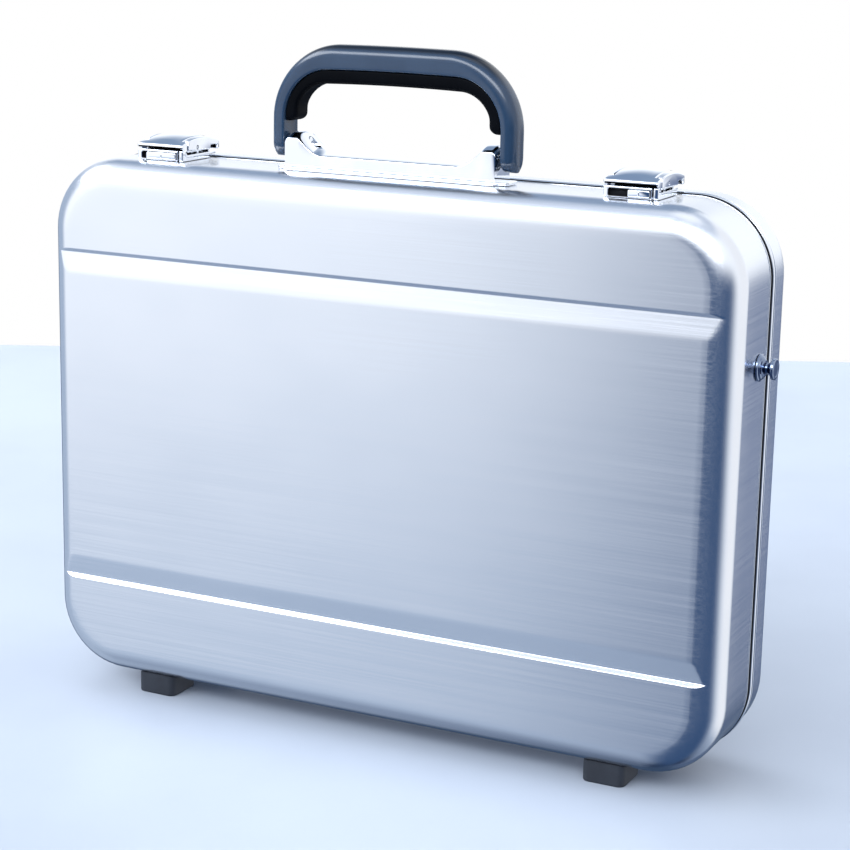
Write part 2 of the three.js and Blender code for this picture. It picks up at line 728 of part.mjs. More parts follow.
// The lever: a hollow domed cover with a wide front lip, a barrel at its back and an ear for the hook pin.
function latchLever(side) {
  const { depth, height } = LEVER_PIVOT;
  const full = [-LATCH_HALF, LATCH_HALF];
  const narrow = [-LEVER_HALF, LEVER_HALF];
  const hollow = LEVER_HALF - LEVER_WALL;
  const hollowed = [-hollow, hollow];
  const front = LATCH_FRONT - 0.5;
  const behind = depth + BARREL_RADIUS + 1;
  const barrel = latchBar(side, BARREL_RADIUS, narrow, LEVER_PIVOT, 24);
  const barrelCap = barrel.intersect(domeBlock(side, narrow, [depth - 1, behind], 0));
  let made = domeBlock(side, full, [front, LEVER_SHOULDER], LEVER_BOTTOM);
  made = made.add(domeBlock(side, narrow, [LEVER_SHOULDER - 1, depth], LEVER_BOTTOM)).add(barrelCap);
  for (const hand of Object.values(SIDES)) {
    const across = mirrored(hand, [hollow, LEVER_HALF]);
    made = made.add(latchBar(side, HOOK_PIN_RADIUS + PLATE, across, HOOK_PIVOT));
  }
  made = made.subtract(domeBlock(side, hollowed, [front + 3, depth], 2, PLATE));
  made = made.subtract(latchBar(side, BARREL_RADIUS - PLATE, hollowed, LEVER_PIVOT, 24));
  made = made.subtract(latchBox(side, hollowed, [depth - 1, behind], [0, height]));
  made = made.subtract(latchBox(side, [-20, 20], [front - 1, front + 3], [0, LIP_BOTTOM]));
  made = made.subtract(latchBar(side, LEVER_PIN_RADIUS + GAP, [-20, 20], LEVER_PIVOT));
  return made.subtract(latchBar(side, HOOK_PIN_RADIUS + GAP, [-20, 20], HOOK_PIVOT));
}

// The hook: two arms beside the lever, joined behind it by a plate with a claw that turns down.
function latchHook(side) {
  const full = [-LATCH_HALF, LATCH_HALF];
  let made = domeBlock(side, full, [HOOK_PLATE_FRONT, LATCH_REAR], HOOK_PLATE_BOTTOM);
  for (const hand of Object.values(SIDES)) {
    const across = mirrored(hand, [ARM_INNER, LATCH_HALF]);
    made = made.add(domeBlock(side, across, [ARM_FRONT, HOOK_PLATE_FRONT + 2], ARM_BOTTOM));
  }
  const claw = [LATCH_REAR - CLAW_THICK, LATCH_REAR];
  made = made.add(latchBox(side, full, claw, [CLAW_BOTTOM, HOOK_PLATE_BOTTOM + 1]));
  const { depth, height } = LEVER_PIVOT;
  const between = [-ARM_INNER, ARM_INNER];
  made = made.subtract(latchBar(side, BARREL_RADIUS + 0.5, between, LEVER_PIVOT, 24));
  made = made.subtract(latchBox(side, between, [depth, depth + BARREL_RADIUS + 0.6], [0, height]));
  return made.subtract(latchBar(side, HOOK_PIN_RADIUS + GAP, [-20, 20], HOOK_PIVOT));
}

function latchButton(side, { from, to }) {
  const heights = [CASE_TOP + WINDOW.low + GAP, CASE_TOP + WINDOW.high - GAP];
  const depths = [LATCH_FRONT - 0.9, LATCH_FRONT + 2.9];
  const outline = roundedRectangle([side * LATCH_X + from, side * LATCH_X + to], heights, 1, 2);
  return pressedAlongY(outline, depths.map(atDepth), 0.5, 1);
}

function leverSpring(side) {
  const outer = latchBar(side, SPRING_RADIUS, [-SPRING_HALF, SPRING_HALF], LEVER_PIVOT, 14);
  return outer.subtract(latchBar(side, LEVER_PIN_RADIUS + GAP, [-8, 8], LEVER_PIVOT, 14));
}

// The strike on the lid: a plate with a low rib in front, which the claw drops behind.
function latchStrike(side) {
  const across = [-STRIKE_HALF, STRIKE_HALF];
  const plate = latchBox(side, across, STRIKE_DEPTH, [BEAD_PROUD + GAP, STRIKE_PLATE_TOP]);
  const rib = [STRIKE_DEPTH[0], STRIKE_RIB_REAR];
  return plate.add(latchBox(side, across, rib, [STRIKE_PLATE_TOP - 0.5, CLAW_BOTTOM - 2 * GAP]));
}

// ---------- Strap studs ----------

function studCollar(side) {
  const profile = [
    [2.2, GAP],
    [COLLAR_RADIUS, GAP],
    [COLLAR_RADIUS, 1.2],
    [COLLAR_RADIUS - 1.2, 3],
    [COLLAR_RADIUS - 3.4, 4],
    [2.2, 4],
    [2.2, GAP],
  ];
  return turnedAlongX(profile, side, HALF_WIDTH, atDepth(STUD_DEPTH), FLOOR_TO_CASE + STUD_HEIGHT, 20);
}

function strapStud(side) {
  const profile = [
    [0, -SHEET - GAP - 1.2],
    [3, -SHEET - GAP - 1.2],
    [3, -SHEET - GAP],
    [STUD_SHANK_RADIUS, -SHEET - GAP],
    [STUD_SHANK_RADIUS, 4.3],
    [3.4, 4.3],
    [3, 5.6],
    [5, 7.4],
    [6.2, 8.2],
    [6.2, STUD_REACH - 0.5],
    [5.6, STUD_REACH],
    [0, STUD_REACH],
  ];
  return turnedAlongX(profile, side, HALF_WIDTH, atDepth(STUD_DEPTH), FLOOR_TO_CASE + STUD_HEIGHT, 18);
}

// ---------- Hinge ----------

function hingeLeaf(side) {
  const sign = side === "base" ? -1 : 1;
  const along = (from, to) => [HINGE.y + sign * from, HINGE.y + sign * to].sort((a, b) => a - b);
  const top = HINGE.z + KNUCKLE_RADIUS;
  let made = box([-HINGE_HALF, HINGE_HALF], along(KNUCKLE_RADIUS + 0.5, 16), [top - LEAF, top]);
  const pitch = (2 * HINGE_HALF) / KNUCKLES;
  for (let i = 0; i < KNUCKLES; i++) {
    const own = i % 2 === (side === "base" ? 0 : 1);
    if (!own) continue;
    const start = i === 0 ? -HINGE_HALF : -HINGE_HALF + i * pitch + 0.2;
    const end = i === KNUCKLES - 1 ? HINGE_HALF : -HINGE_HALF + (i + 1) * pitch - 0.2;
    made = made.add(box([start, end], along(0, KNUCKLE_RADIUS + 1), [top - LEAF, top]));
    made = made.add(bar("x", KNUCKLE_RADIUS, [start, end], [HINGE.y, HINGE.z], 14));
  }
  const through = [-HINGE_HALF - 1, HINGE_HALF + 1];
  return made.subtract(bar("x", HINGE_PIN_RADIUS + GAP, through, [HINGE.y, HINGE.z], 14));
}

// ---------- Lid stays ----------

const stayRise = Math.sqrt(STAY_LENGTH ** 2 - STAY_OFFSET ** 2);
const STAY_BASE = { y: HINGE.y - STAY_OFFSET, z: HINGE.z + stayRise };
const STAY_LID = { y: HINGE.y + STAY_OFFSET, z: HINGE.z + stayRise };
const STAY_KNEE = { y: HINGE.y, z: HINGE.z + 2 * stayRise };
const WEB_FACE = HALF_WIDTH + WEB_INNER;
const LOWER_LINK = [WEB_FACE - 0.7 - LINK_THICK, WEB_FACE - 0.7];
const UPPER_LINK = [LOWER_LINK[0] - 0.7 - LINK_THICK, LOWER_LINK[0] - 0.7];

function stayLink(side, from, to, thickness) {
  const heading = Math.atan2(to.z - from.z, to.y - from.y);
  const points = [];
  const steps = 6;
  for (const [end, start] of [[to, -Math.PI / 2], [from, Math.PI / 2]]) {
    for (let step = 0; step <= steps; step++) {
      const angle = heading + start + (step / steps) * Math.PI;
      points.push([end.y + LINK_HALF * Math.cos(angle), end.z + LINK_HALF * Math.sin(angle)]);
    }
  }
  const range = mirrored(side, thickness);
  let made = pressedAlongX(points, range);
  for (const { y, z } of [from, to]) {
    made = made.subtract(bar("x", RIVET_RADIUS + GAP, [range[0] - 1, range[1] + 1], [y, z], 10));
  }
  return made;
}

function stayRivet(side, { y, z }, innerFace, outerEnd) {
  const headInner = innerFace - GAP - 1.4;
  const profile = [
    [0, headInner],
    [2.8, headInner],
    [2.8, innerFace - GAP],
    [RIVET_RADIUS, innerFace - GAP],
    [RIVET_RADIUS, outerEnd],
    [0, outerEnd],
  ];
  return turnedAlongX(profile, side, 0, y, z, 10);
}

// ---------- Holes through the shells and linings ----------

function drilledBaseShell() {
  let made = caseShell("base", BASE_RIM);
  for (const side of Object.values(SIDES)) {
    const wall = mirrored(side, [HALF_WIDTH - 5, HALF_WIDTH + 5]);
    const studPlace = [atDepth(STUD_DEPTH), FLOOR_TO_CASE + STUD_HEIGHT];
    made = made.subtract(bar("x", STUD_SHANK_RADIUS + GAP, wall, studPlace));
    const roof = [CASE_TOP - 4, CASE_TOP + 4];
    const screwPlace = [side * BRACKET_SCREW_X, HANDLE_PIVOT.y];
    made = made.subtract(bar("z", BRACKET_SCREW_RADIUS + GAP, roof, screwPlace));
    made = made.subtract(footHole(side, FRONT_FOOT_DEPTH));
  }
  return made;
}

const footHole = (side, depths, radius = SCREW_RADIUS + GAP) =>
  bar("z", radius, [FOOT_HEIGHT - 3, FOOT_HEIGHT + 9], [side * FOOT_X, footMiddle(depths)]);

function drilledLidShell() {
  let made = caseShell("lid", CASE_DEPTH - LID_RIM);
  for (const side of Object.values(SIDES)) made = made.subtract(footHole(side, REAR_FOOT_DEPTH));
  return made;
}

function baseLining() {
  let made = lining("base", BASE_WEB_DEPTH - LINING_RIM);
  const { y } = HANDLE_PIVOT;
  const plateSpace = box([-60.5, 60.5], [y - 9.5, y + 9.5], [PLATE_TOP - 8, PLATE_TOP + 3]);
  made = made.subtract(plateSpace);
  for (const side of Object.values(SIDES)) {
    const wall = mirrored(side, [HALF_WIDTH - 3.5, HALF_WIDTH + 5]);
    made = made.subtract(bar("x", 3.4, wall, [atDepth(STUD_DEPTH), FLOOR_TO_CASE + STUD_HEIGHT]));
    made = made.subtract(footHole(side, FRONT_FOOT_DEPTH, SCREW_RADIUS + 2 * GAP));
  }
  return made;
}

function lidLining() {
  let made = lining("lid", CASE_DEPTH - LID_WEB_DEPTH - LINING_RIM);
  for (const side of Object.values(SIDES)) {
    made = made.subtract(footHole(side, REAR_FOOT_DEPTH, SCREW_RADIUS + 2 * GAP));
  }
  return made;
}

// ---------- The assembly ----------

const attacheCase = new THREE.Group();

function add(group, name, shape, material) {
  const mesh = new THREE.Mesh(geometryOf(shape), MATERIALS[material]);
  mesh.name = name;
  group.add(mesh);
}

const baseHalf = new THREE.Group();
add(baseHalf, "base_shell", drilledBaseShell(), "brushed");
add(baseHalf, "base_valance", baseValance(), "bright");
add(baseHalf, "seam_seal", seamSeal(), "rubber");
add(baseHalf, "base_lining", baseLining(), "lining");
add(baseHalf, "hinge_leaf_base", hingeLeaf("base"), "steel");
const hingePin = bar("x", HINGE_PIN_RADIUS, [-HINGE_HALF, HINGE_HALF], [HINGE.y, HINGE.z], 10);
add(baseHalf, "hinge_pin", hingePin, "steel");
add(baseHalf, "handle_bracket", handleBracket(), "chrome");
add(baseHalf, "handle_backing_plate", backingPlate(), "steel");

const lidHalf = new THREE.Group();
add(lidHalf, "lid_shell", drilledLidShell(), "brushed");
add(lidHalf, "lid_valance", lidValance(), "bright");
add(lidHalf, "lid_lining", lidLining(), "lining");
add(lidHalf, "hinge_leaf_lid", hingeLeaf("lid"), "steel");

const handle = new THREE.Group();
add(handle, "handle_shell", handleShell(), "handle");
add(handle, "handle_grip", handleGrip(), "grip");

const latches = new THREE.Group();
const stays = new THREE.Group();

for (const [name, side] of Object.entries(SIDES)) {
  add(baseHalf, `front_foot_${name}`, foot(side * FOOT_X, FRONT_FOOT_DEPTH, "base"), "rubber");
  add(baseHalf, `front_foot_screw_${name}`, footScrew(side * FOOT_X, FRONT_FOOT_DEPTH), "steel");
  add(baseHalf, `bracket_screw_${name}`, bracketScrew(side), "steel");
  add(baseHalf, `handle_pin_${name}`, handlePin(side), "chrome");
  add(baseHalf, `stud_collar_${name}`, studCollar(side), "chrome");
  add(baseHalf, `strap_stud_${name}`, strapStud(side), "chrome");

  add(lidHalf, `rear_foot_${name}`, foot(side * FOOT_X, REAR_FOOT_DEPTH, "lid"), "rubber");
  add(lidHalf, `rear_foot_screw_${name}`, footScrew(side * FOOT_X, REAR_FOOT_DEPTH), "steel");
  add(lidHalf, `latch_strike_${name}`, latchStrike(side), "chrome");

  add(latches, `latch_case_${name}`, latchCase(side), "chrome");
  add(latches, `latch_lever_${name}`, latchLever(side), "chrome");
  const leverPin = [-LEVER_HALF + 0.2, LEVER_HALF - 0.2];
  add(latches, `latch_lever_pin_${name}`, latchBar(side, LEVER_PIN_RADIUS, leverPin, LEVER_PIVOT), "steel");
  add(latches, `latch_lever_spring_${name}`, leverSpring(side), "steel");
  add(latches, `latch_hook_${name}`, latchHook(side), "chrome");
  const hookPin = [-LATCH_HALF + 0.2, LATCH_HALF - 0.2];
  add(latches, `latch_hook_pin_${name}`, latchBar(side, HOOK_PIN_RADIUS, hookPin, HOOK_PIVOT), "steel");
  add(latches, `latch_button_${name}`, latchButton(side, BUTTONS[name]), "chrome");

  add(stays, `stay_lower_link_${name}`, stayLink(side, STAY_BASE, STAY_KNEE, LOWER_LINK), "steel");
  add(stays, `stay_upper_link_${name}`, stayLink(side, STAY_KNEE, STAY_LID, UPPER_LINK), "steel");
  const wallEnd = WEB_FACE - GAP;
  add(stays, `stay_base_rivet_${name}`, stayRivet(side, STAY_BASE, LOWER_LINK[0], wallEnd), "steel");
  add(stays, `stay_lid_rivet_${name}`, stayRivet(side, STAY_LID, UPPER_LINK[0], wallEnd), "steel");
  add(stays, `stay_knee_rivet_${name}`, stayRivet(side, STAY_KNEE, UPPER_LINK[0], LOWER_LINK[1]), "steel");
}

attacheCase.add(baseHalf, lidHalf, handle, latches, stays);

export default attacheCase;
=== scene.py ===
"""An aluminium attache case: the fine pieces and the looks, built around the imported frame.

+X runs along the case's width, +Y from the front half to the lid, +Z up, with the origin on the floor.
Lengths in the mesh code are millimetres, and MM turns them into Blender's metres.
"""

import json
from math import acos, atan2, copysign, cos, exp, hypot, pi, radians, sin, sqrt, tan

import bmesh
import bpy
from mathutils import Matrix, Vector


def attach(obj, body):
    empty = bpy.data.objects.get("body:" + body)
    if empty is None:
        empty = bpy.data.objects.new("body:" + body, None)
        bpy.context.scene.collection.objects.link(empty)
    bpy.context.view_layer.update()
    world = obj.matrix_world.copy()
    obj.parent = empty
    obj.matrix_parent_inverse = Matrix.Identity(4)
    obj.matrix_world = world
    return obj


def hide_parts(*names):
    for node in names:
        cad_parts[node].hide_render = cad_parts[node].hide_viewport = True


MM = 0.001
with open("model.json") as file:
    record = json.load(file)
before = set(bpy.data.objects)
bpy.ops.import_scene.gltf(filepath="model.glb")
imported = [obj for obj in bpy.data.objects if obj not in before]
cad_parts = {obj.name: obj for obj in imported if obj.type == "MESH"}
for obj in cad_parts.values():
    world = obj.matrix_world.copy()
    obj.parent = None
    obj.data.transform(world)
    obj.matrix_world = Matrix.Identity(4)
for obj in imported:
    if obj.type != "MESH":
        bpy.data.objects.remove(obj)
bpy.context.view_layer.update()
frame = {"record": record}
BODY_OF = {node: body for body, nodes in frame["record"]["behaviour"]["bodies"].items() for node in nodes}

# ---------- Dimensions, the same as the part's ----------

CASE_WIDTH, CASE_HEIGHT, CASE_DEPTH = 457, 334.6, 94.7
HINGE_DEPTH = 56
CORNER_RADIUS, EDGE_RADIUS = 46, 17
SHEET, GAP = 1.5, 0.3
CREASE_DEPTH, CREASE_STEEP, CREASE_GENTLE, CREASE_BLEND = 2.1, 2.1, 12.5, 0.25
BASE_RIM, LID_RIM = 54.0, 64.9
FOOT_HEIGHT, FOOT_WIDTH, FOOT_X = 13, 27, 156.5
FRONT_FOOT_DEPTH, REAR_FOOT_DEPTH = (10, 38), (66, 86)
CASE_TOP = FOOT_HEIGHT + CASE_HEIGHT
CASE_MIDDLE = FOOT_HEIGHT + CASE_HEIGHT / 2
HALF_WIDTH = CASE_WIDTH / 2
CREASE_TOP = CASE_TOP - 59.2
CREASE_BOTTOM = FOOT_HEIGHT + 63.3
SIDES = {"left": -1, "right": 1}


def at_depth(depth):
    """The y of a depth measured back from the front face of the base half."""
    return depth - CASE_DEPTH / 2


HANDLE_Y, HANDLE_Z = at_depth(34.5), CASE_TOP + 16.4
HINGE_Y, HINGE_Z = at_depth(HINGE_DEPTH), FOOT_HEIGHT - 3.7
LATCH_X, LATCH_HALF = 155.7, 16.5

# ---------- Mesh code ----------


class Shape:
    """The points and faces of one piece, gathered body by body. A face's kind is its material slot."""

    def __init__(self):
        self.points, self.faces, self.kinds = [], [], []

    def add(self, part, kind=0):
        points, faces = part
        start = len(self.points)
        self.points += points
        self.faces += [[start + i for i in face] for face in faces]
        self.kinds += [kind] * len(faces)
        return self


def bands(count, rows, closed=False):
    """The faces between rings of `count` points each, one ring after another."""
    faces = []
    for band in range(rows if closed else rows - 1):
        a, b = band * count, (band + 1) % rows * count
        for i in range(count):
            j = (i + 1) % count
            faces.append([a + i, a + j, b + j, b + i])
    return faces


def loft(rings, closed=False):
    """Rings of equally many points joined in order. A closed loft is a tube, an open one is capped."""
    count = len(rings[0])
    points = [point for ring in rings for point in ring]
    faces = bands(count, len(rings), closed)
    if not closed:
        last = (len(rings) - 1) * count
        faces.append(list(range(count))[::-1])
        faces.append([last + i for i in range(count)])
    return points, faces


def unit(x, y):
    length = hypot(x, y) or 1
    return x / length, y / length


def quarter(steps, degrees=90):
    """The (sine, cosine) at even steps from 0 to 90 degrees, or to another angle."""
    angles = [step / steps * radians(degrees) for step in range(steps + 1)]
    return [(sin(angle), cos(angle)) for angle in angles]


def rounding(radius, steps):
    """The (shrink, drop) of a rounded rim at even steps from its end face to its side."""
    return [(radius * (1 - sine), radius * (1 - cosine)) for sine, cosine in quarter(steps)]


def mirrored(side, near, far, middle=0):
    """Two distances out from a middle as (low, high) places on one side of it."""
    return sorted((middle + side * near, middle + side * far))


def inset(outline, distance):
    """A closed outline moved inwards by a distance, with mitred corners."""
    area = sum(a[0] * b[1] - b[0] * a[1] for a, b in zip(outline, outline[1:] + outline[:1]))
    turn = 1 if area > 0 else -1
    moved = []
    for i, (x, y) in enumerate(outline):
        before, after = outline[i - 1], outline[(i + 1) % len(outline)]
        ax, ay = unit(x - before[0], y - before[1])
        bx, by = unit(after[0] - x, after[1] - y)
        nx, ny = unit(-(ay + by), ax + bx)
        stretch = max(0.5, -nx * ay + ny * ax)
        reach = turn * distance / stretch
        moved.append((x + nx * reach, y + ny * reach))
    return moved


def fillet(corners, steps=4):
    """A closed outline whose corners (x, y, radius) are rounded."""
    outline = []
    for i, (x, y, radius) in enumerate(corners):
        px, py, _ = corners[i - 1]
        qx, qy, _ = corners[(i + 1) % len(corners)]
        ax, ay = unit(px - x, py - y)
        bx, by = unit(qx - x, qy - y)
        half = acos(max(-1, min(1, ax * bx + ay * by))) / 2
        if radius <= 0 or half > pi / 2 - 0.02:
            outline.append((x, y))
            continue
        along = radius / tan(half)
        mx, my = unit(ax + bx, ay + by)
        cx, cy = x + mx * radius / sin(half), y + my * radius / sin(half)
        start = atan2(y + ay * along - cy, x + ax * along - cx)
        sweep = atan2(y + by * along - cy, x + bx * along - cx) - start
        sweep = (sweep + pi) % (2 * pi) - pi
        for step in range(steps + 1):
            angle = start + sweep * step / steps
            outline.append((cx + radius * cos(angle), cy + radius * sin(angle)))
    return outline


def rectangle(u0, u1, v0, v1, radius, steps=5):
    corners = [(u0, v0, radius), (u1, v0, radius), (u1, v1, radius), (u0, v1, radius)]
    return fillet(corners, steps)


def place(axis, u, v, along):
    """A point from its two flat coordinates and the one along the axis."""
    return {"x": (along, u, v), "y": (u, along, v), "z": (u, v, along)}[axis]


def slab(axis, outline, low, high, edge=0.5, steps=3):
    """A flat outline pushed along an axis, with both its rims rounded over."""
    rims = []
    for shrink, drop in rounding(edge, steps) if edge else [(0, 0)]:
        rims.append((inset(outline, shrink) if shrink > 1e-6 else outline, drop))
    rings = [[place(axis, u, v, low + drop) for u, v in flat] for flat, drop in rims]
    rings += [[place(axis, u, v, high - drop) for u, v in flat] for flat, drop in reversed(rims)]
    return loft(rings)


def turned(axis, profile, centre, closed=False, segments=48):
    """A turned piece from profile points of (radius, distance along the axis)."""
    rings = []
    for radius, along in profile:
        ring = []
        for i in range(segments):
            angle = 2 * pi * i / segments
            u, v = centre[0] + radius * cos(angle), centre[1] + radius * sin(angle)
            ring.append(place(axis, u, v, along))
        rings.append(ring)
    return loft(rings, closed)


def rounded_profile(corners, steps=4):
    """An open turning profile of (radius, along, rounding) corners, closed down to the axis."""
    whole = [(0.0, corners[0][1], 0), *corners, (0.0, corners[-1][1], 0)]
    return [point for point in fillet(whole, steps) if point[0] > 1e-6]


def rod(axis, radius, low, high, centre):
    return turned(axis, [(radius, low), (radius, high)], centre, segments=32)


def boss(radius, low, high, centre):
    """A short thick rod along X with chamfered ends."""
    chamfer = 0.2
    profile = [(radius - chamfer, low), (radius, low + chamfer)]
    profile += [(radius, high - chamfer), (radius - chamfer, high)]
    return turned("x", profile, centre)


def linked(name, data):
    """A new object in the scene that shows a mesh, a lamp or a camera."""
    obj = bpy.data.objects.new(name, data)
    bpy.context.scene.collection.objects.link(obj)
    return obj


def object_of(name, shape):
    """A mesh object with its faces turned outwards and its double points merged."""
    mesh = bpy.data.meshes.new(name)
    mesh.from_pydata([[c * MM for c in point] for point in shape.points], [], shape.faces)
    mesh.polygons.foreach_set("material_index", shape.kinds)
    bm = bmesh.new()
    bm.from_mesh(mesh)
    bmesh.ops.remove_doubles(bm, verts=bm.verts, dist=1e-7)
    bmesh.ops.dissolve_degenerate(bm, edges=bm.edges, dist=1e-8)
    bmesh.ops.recalc_face_normals(bm, faces=bm.faces)
    bm.to_mesh(mesh)
    bm.free()
    return linked(name, mesh)


def cut(obj, cutters):
    """Takes closed cutter bodies out of an object, one after another, because they may overlap."""
    for cutter in cutters:
        tool = object_of("cutter", Shape().add(cutter))
        change = obj.modifiers.new("cut", "BOOLEAN")
        change.operation = "DIFFERENCE"
        change.solver = "EXACT"
        change.object = tool
        bpy.context.view_layer.update()
        graph = bpy.context.evaluated_depsgraph_get()
        mesh = bpy.data.meshes.new_from_object(obj.evaluated_get(graph))
        obj.modifiers.clear()
        obj.data = mesh
        bpy.data.objects.remove(tool)


# ---------- Materials ----------


class Nodes:
    """Short names for making a material's nodes."""

    def __init__(self, tree):
        self.tree = tree
        self.shader = tree.nodes.get("Principled BSDF")

    def feed(self, socket, value):
        """Links a socket to another, or gives it a plain value. A plain colour is (red, green, blue)."""
        if isinstance(value, bpy.types.NodeSocket):
            self.tree.links.new(value, socket)
        else:
            socket.default_value = (*value, 1) if socket.type == "RGBA" else value

    def make(self, kind, inputs=None, **settings):
        node = self.tree.nodes.new(kind)
        for name, value in settings.items():
            setattr(node, name, value)
        for name, value in (inputs or {}).items():
            self.feed(node.inputs[name], value)
        return node

    def paint(self, **sockets):
        """Feeds the surface shader's own sockets."""
        for name, value in sockets.items():
            self.feed(self.shader.inputs[name.replace("_", " ").title().replace("Ior", "IOR")], value)

    def math(self, operation, a, b=0.0):
        return self.make("ShaderNodeMath", {0: a, 1: b}, operation=operation).outputs[0]

    def blend(self, a, b, share):
        """Two values added, the first by its share and the second by the rest."""
        return self.math("ADD", self.math("MULTIPLY", a, share), self.math("MULTIPLY", b, 1 - share))

    def ramp(self, value, low, high, to_low=0.0, to_high=1.0):
        inputs = {"Value": value, "From Min": low, "From Max": high, "To Min": to_low, "To Max": to_high}
        return self.make("ShaderNodeMapRange", inputs, interpolation_type="SMOOTHSTEP", clamp=True).outputs[0]

    def mix(self, factor, a, b):
        return self.make("ShaderNodeMix", {0: factor, 6: a, 7: b}, data_type="RGBA").outputs[2]

    def noise(self, scale, detail=3.0):
        """Noise over the piece's own coordinates in metres, stretched by a scale for each axis."""
        own = self.make("ShaderNodeTexCoord").outputs["Object"]
        stretched = self.make("ShaderNodeMapping", {"Vector": own, "Scale": scale}).outputs[0]
        inputs = {"Vector": stretched, "Scale": 1.0, "Detail": detail, "Roughness": 0.55}
        return self.make("ShaderNodeTexNoise", inputs).outputs["Fac"]

    def bump(self, height, distance):
        return self.make("ShaderNodeBump", {"Height": height, "Distance": distance}).outputs[0]

    def facing(self):
        """The x, y and z of the piece's own normal."""
        normal = self.make("ShaderNodeTexCoord").outputs["Normal"]
        return self.make("ShaderNodeSeparateXYZ", {0: normal}).outputs


def material(name, slot=None, **sockets):
    made = bpy.data.materials.new(name)
    made["slot"] = slot or name
    made.use_nodes = True
    nodes = Nodes(made.node_tree)
    nodes.paint(**sockets)
    return made, nodes


def brushed_metal(name, dark, light, roughness, grain):
    """Metal brushed along its width: fine lines at a constant height, and a blur across them."""
    made, nodes = material(name, metallic=1.0, anisotropic=0.5)
    sideways = nodes.ramp(nodes.math("ABSOLUTE", nodes.facing()[0]), 0.55, 0.85)
    coarse, fine = 7, 2400
    along_x = nodes.noise((coarse, fine, fine), 2.0)
    along_y = nodes.noise((fine, coarse, fine), 2.0)
    lines = nodes.make("ShaderNodeMix", {0: sideways, 2: along_x, 3: along_y}).outputs[0]
    tone = nodes.blend(lines, nodes.noise((9, 9, 14), 2.0), 0.55)
    upright = nodes.make("ShaderNodeCombineXYZ", {1: nodes.math("SUBTRACT", 1.0, sideways), 2: 1.0})
    turn = {"Vector": upright.outputs[0]}
    across = nodes.make("ShaderNodeVectorTransform", turn, vector_type="VECTOR", convert_from="OBJECT")
    nodes.paint(
        base_color=nodes.mix(nodes.ramp(tone, 0.35, 0.65), dark, light),
        roughness=nodes.ramp(lines, 0.3, 0.7, roughness - 0.03, roughness + 0.04),
        normal=nodes.bump(lines, grain),
        tangent=across.outputs[0],
    )
    return made


def smooth_metal(name, dark, light, roughness, scale, wander=0.03, grain=0.0, slot=None):
    """Polished or plated metal: faint clouds in its tone and its gloss."""
    made, nodes = material(name, slot, metallic=1.0)
    cloud = nodes.noise(scale, 4.0)
    nodes.paint(
        base_color=nodes.mix(nodes.ramp(cloud, 0.35, 0.65), dark, light),
        roughness=nodes.ramp(cloud, 0.3, 0.7, roughness, roughness + wander),
    )
    if grain:
        nodes.paint(normal=nodes.bump(nodes.noise((900, 900, 900), 2.0), grain))
    return made


def moulded(name, dark, light, roughness, pebble, depth, specular=0.5, upper=None):
    """Moulded plastic or rubber: a fine pebble, slow clouds in its colour, and maybe painted shade on its
    upward faces.
    """
    made, nodes = material(name, specular_ior_level=specular)
    tone = nodes.mix(nodes.ramp(nodes.noise((40, 40, 40), 4.0), 0.3, 0.7), dark, light)
    # Painted shade: faces that point up in the piece's own frame are darkened towards the colour given as
    # upper.
    if upper:
        tone = nodes.mix(nodes.ramp(nodes.facing()[2], 0.5, 0.85), tone, upper)
    fine = nodes.noise((pebble, pebble, pebble))
    gloss = nodes.ramp(fine, 0.3, 0.7, roughness - 0.04, roughness + 0.06)
    nodes.paint(base_color=tone, roughness=gloss, normal=nodes.bump(fine, depth))
    return made


def cloth(name, dark, light):
    """A close plain weave: crossed sets of threads, with a slubby tone."""
    made, nodes = material(name, roughness=0.85, sheen_weight=0.25, sheen_roughness=0.4)
    spacing = 2600.0 / 6.283
    waves = []
    for axis in "XZY":
        own = nodes.make("ShaderNodeTexCoord").outputs["Object"]
        inputs = {"Vector": own, "Scale": spacing, "Distortion": 0.15}
        waves.append(nodes.make("ShaderNodeTexWave", inputs, bands_direction=axis).outputs["Fac"])
    weave = nodes.math("MULTIPLY", nodes.math("MAXIMUM", waves[0], waves[2]), waves[1])
    tone = nodes.blend(weave, nodes.noise((300, 300, 900)), 0.6)
    nodes.paint(base_color=nodes.mix(tone, dark, light), normal=nodes.bump(weave, 0.0003))
    return made


BRUSHED = brushed_metal("brushed_aluminium", (0.81, 0.84, 0.89), (0.87, 0.89, 0.93), 0.23, 0.0000019)
POLISHED = smooth_metal("polished_aluminium", (0.8, 0.84, 0.9), (0.88, 0.91, 0.96), 0.14, (30, 90, 90))
CHROME = smooth_metal("chrome", (0.84, 0.87, 0.93), (0.9, 0.93, 0.97), 0.035, (60, 60, 60), 0.02)
# The studs' chrome, darker than the rest: a painted dark reflection, standing for the dim surroundings that
# the studs mirror.
CHROME_PAINTED_DARK = smooth_metal(
    "chrome_painted_dark_reflection", (0.2, 0.25, 0.36), (0.28, 0.34, 0.46), 0.07, (90, 90, 90), slot="chrome"
)
STEEL = smooth_metal("steel", (0.5, 0.52, 0.57), (0.62, 0.64, 0.69), 0.28, (120, 120, 120), 0.1, 0.00001)
FOOT = moulded("foot_rubber", (0.012, 0.015, 0.022), (0.022, 0.027, 0.038), 0.6, 1500, 0.00004)
SEAL = moulded("seal_rubber", (0.004, 0.005, 0.008), (0.008, 0.01, 0.015), 0.7, 1200, 0.00002, 0.15)
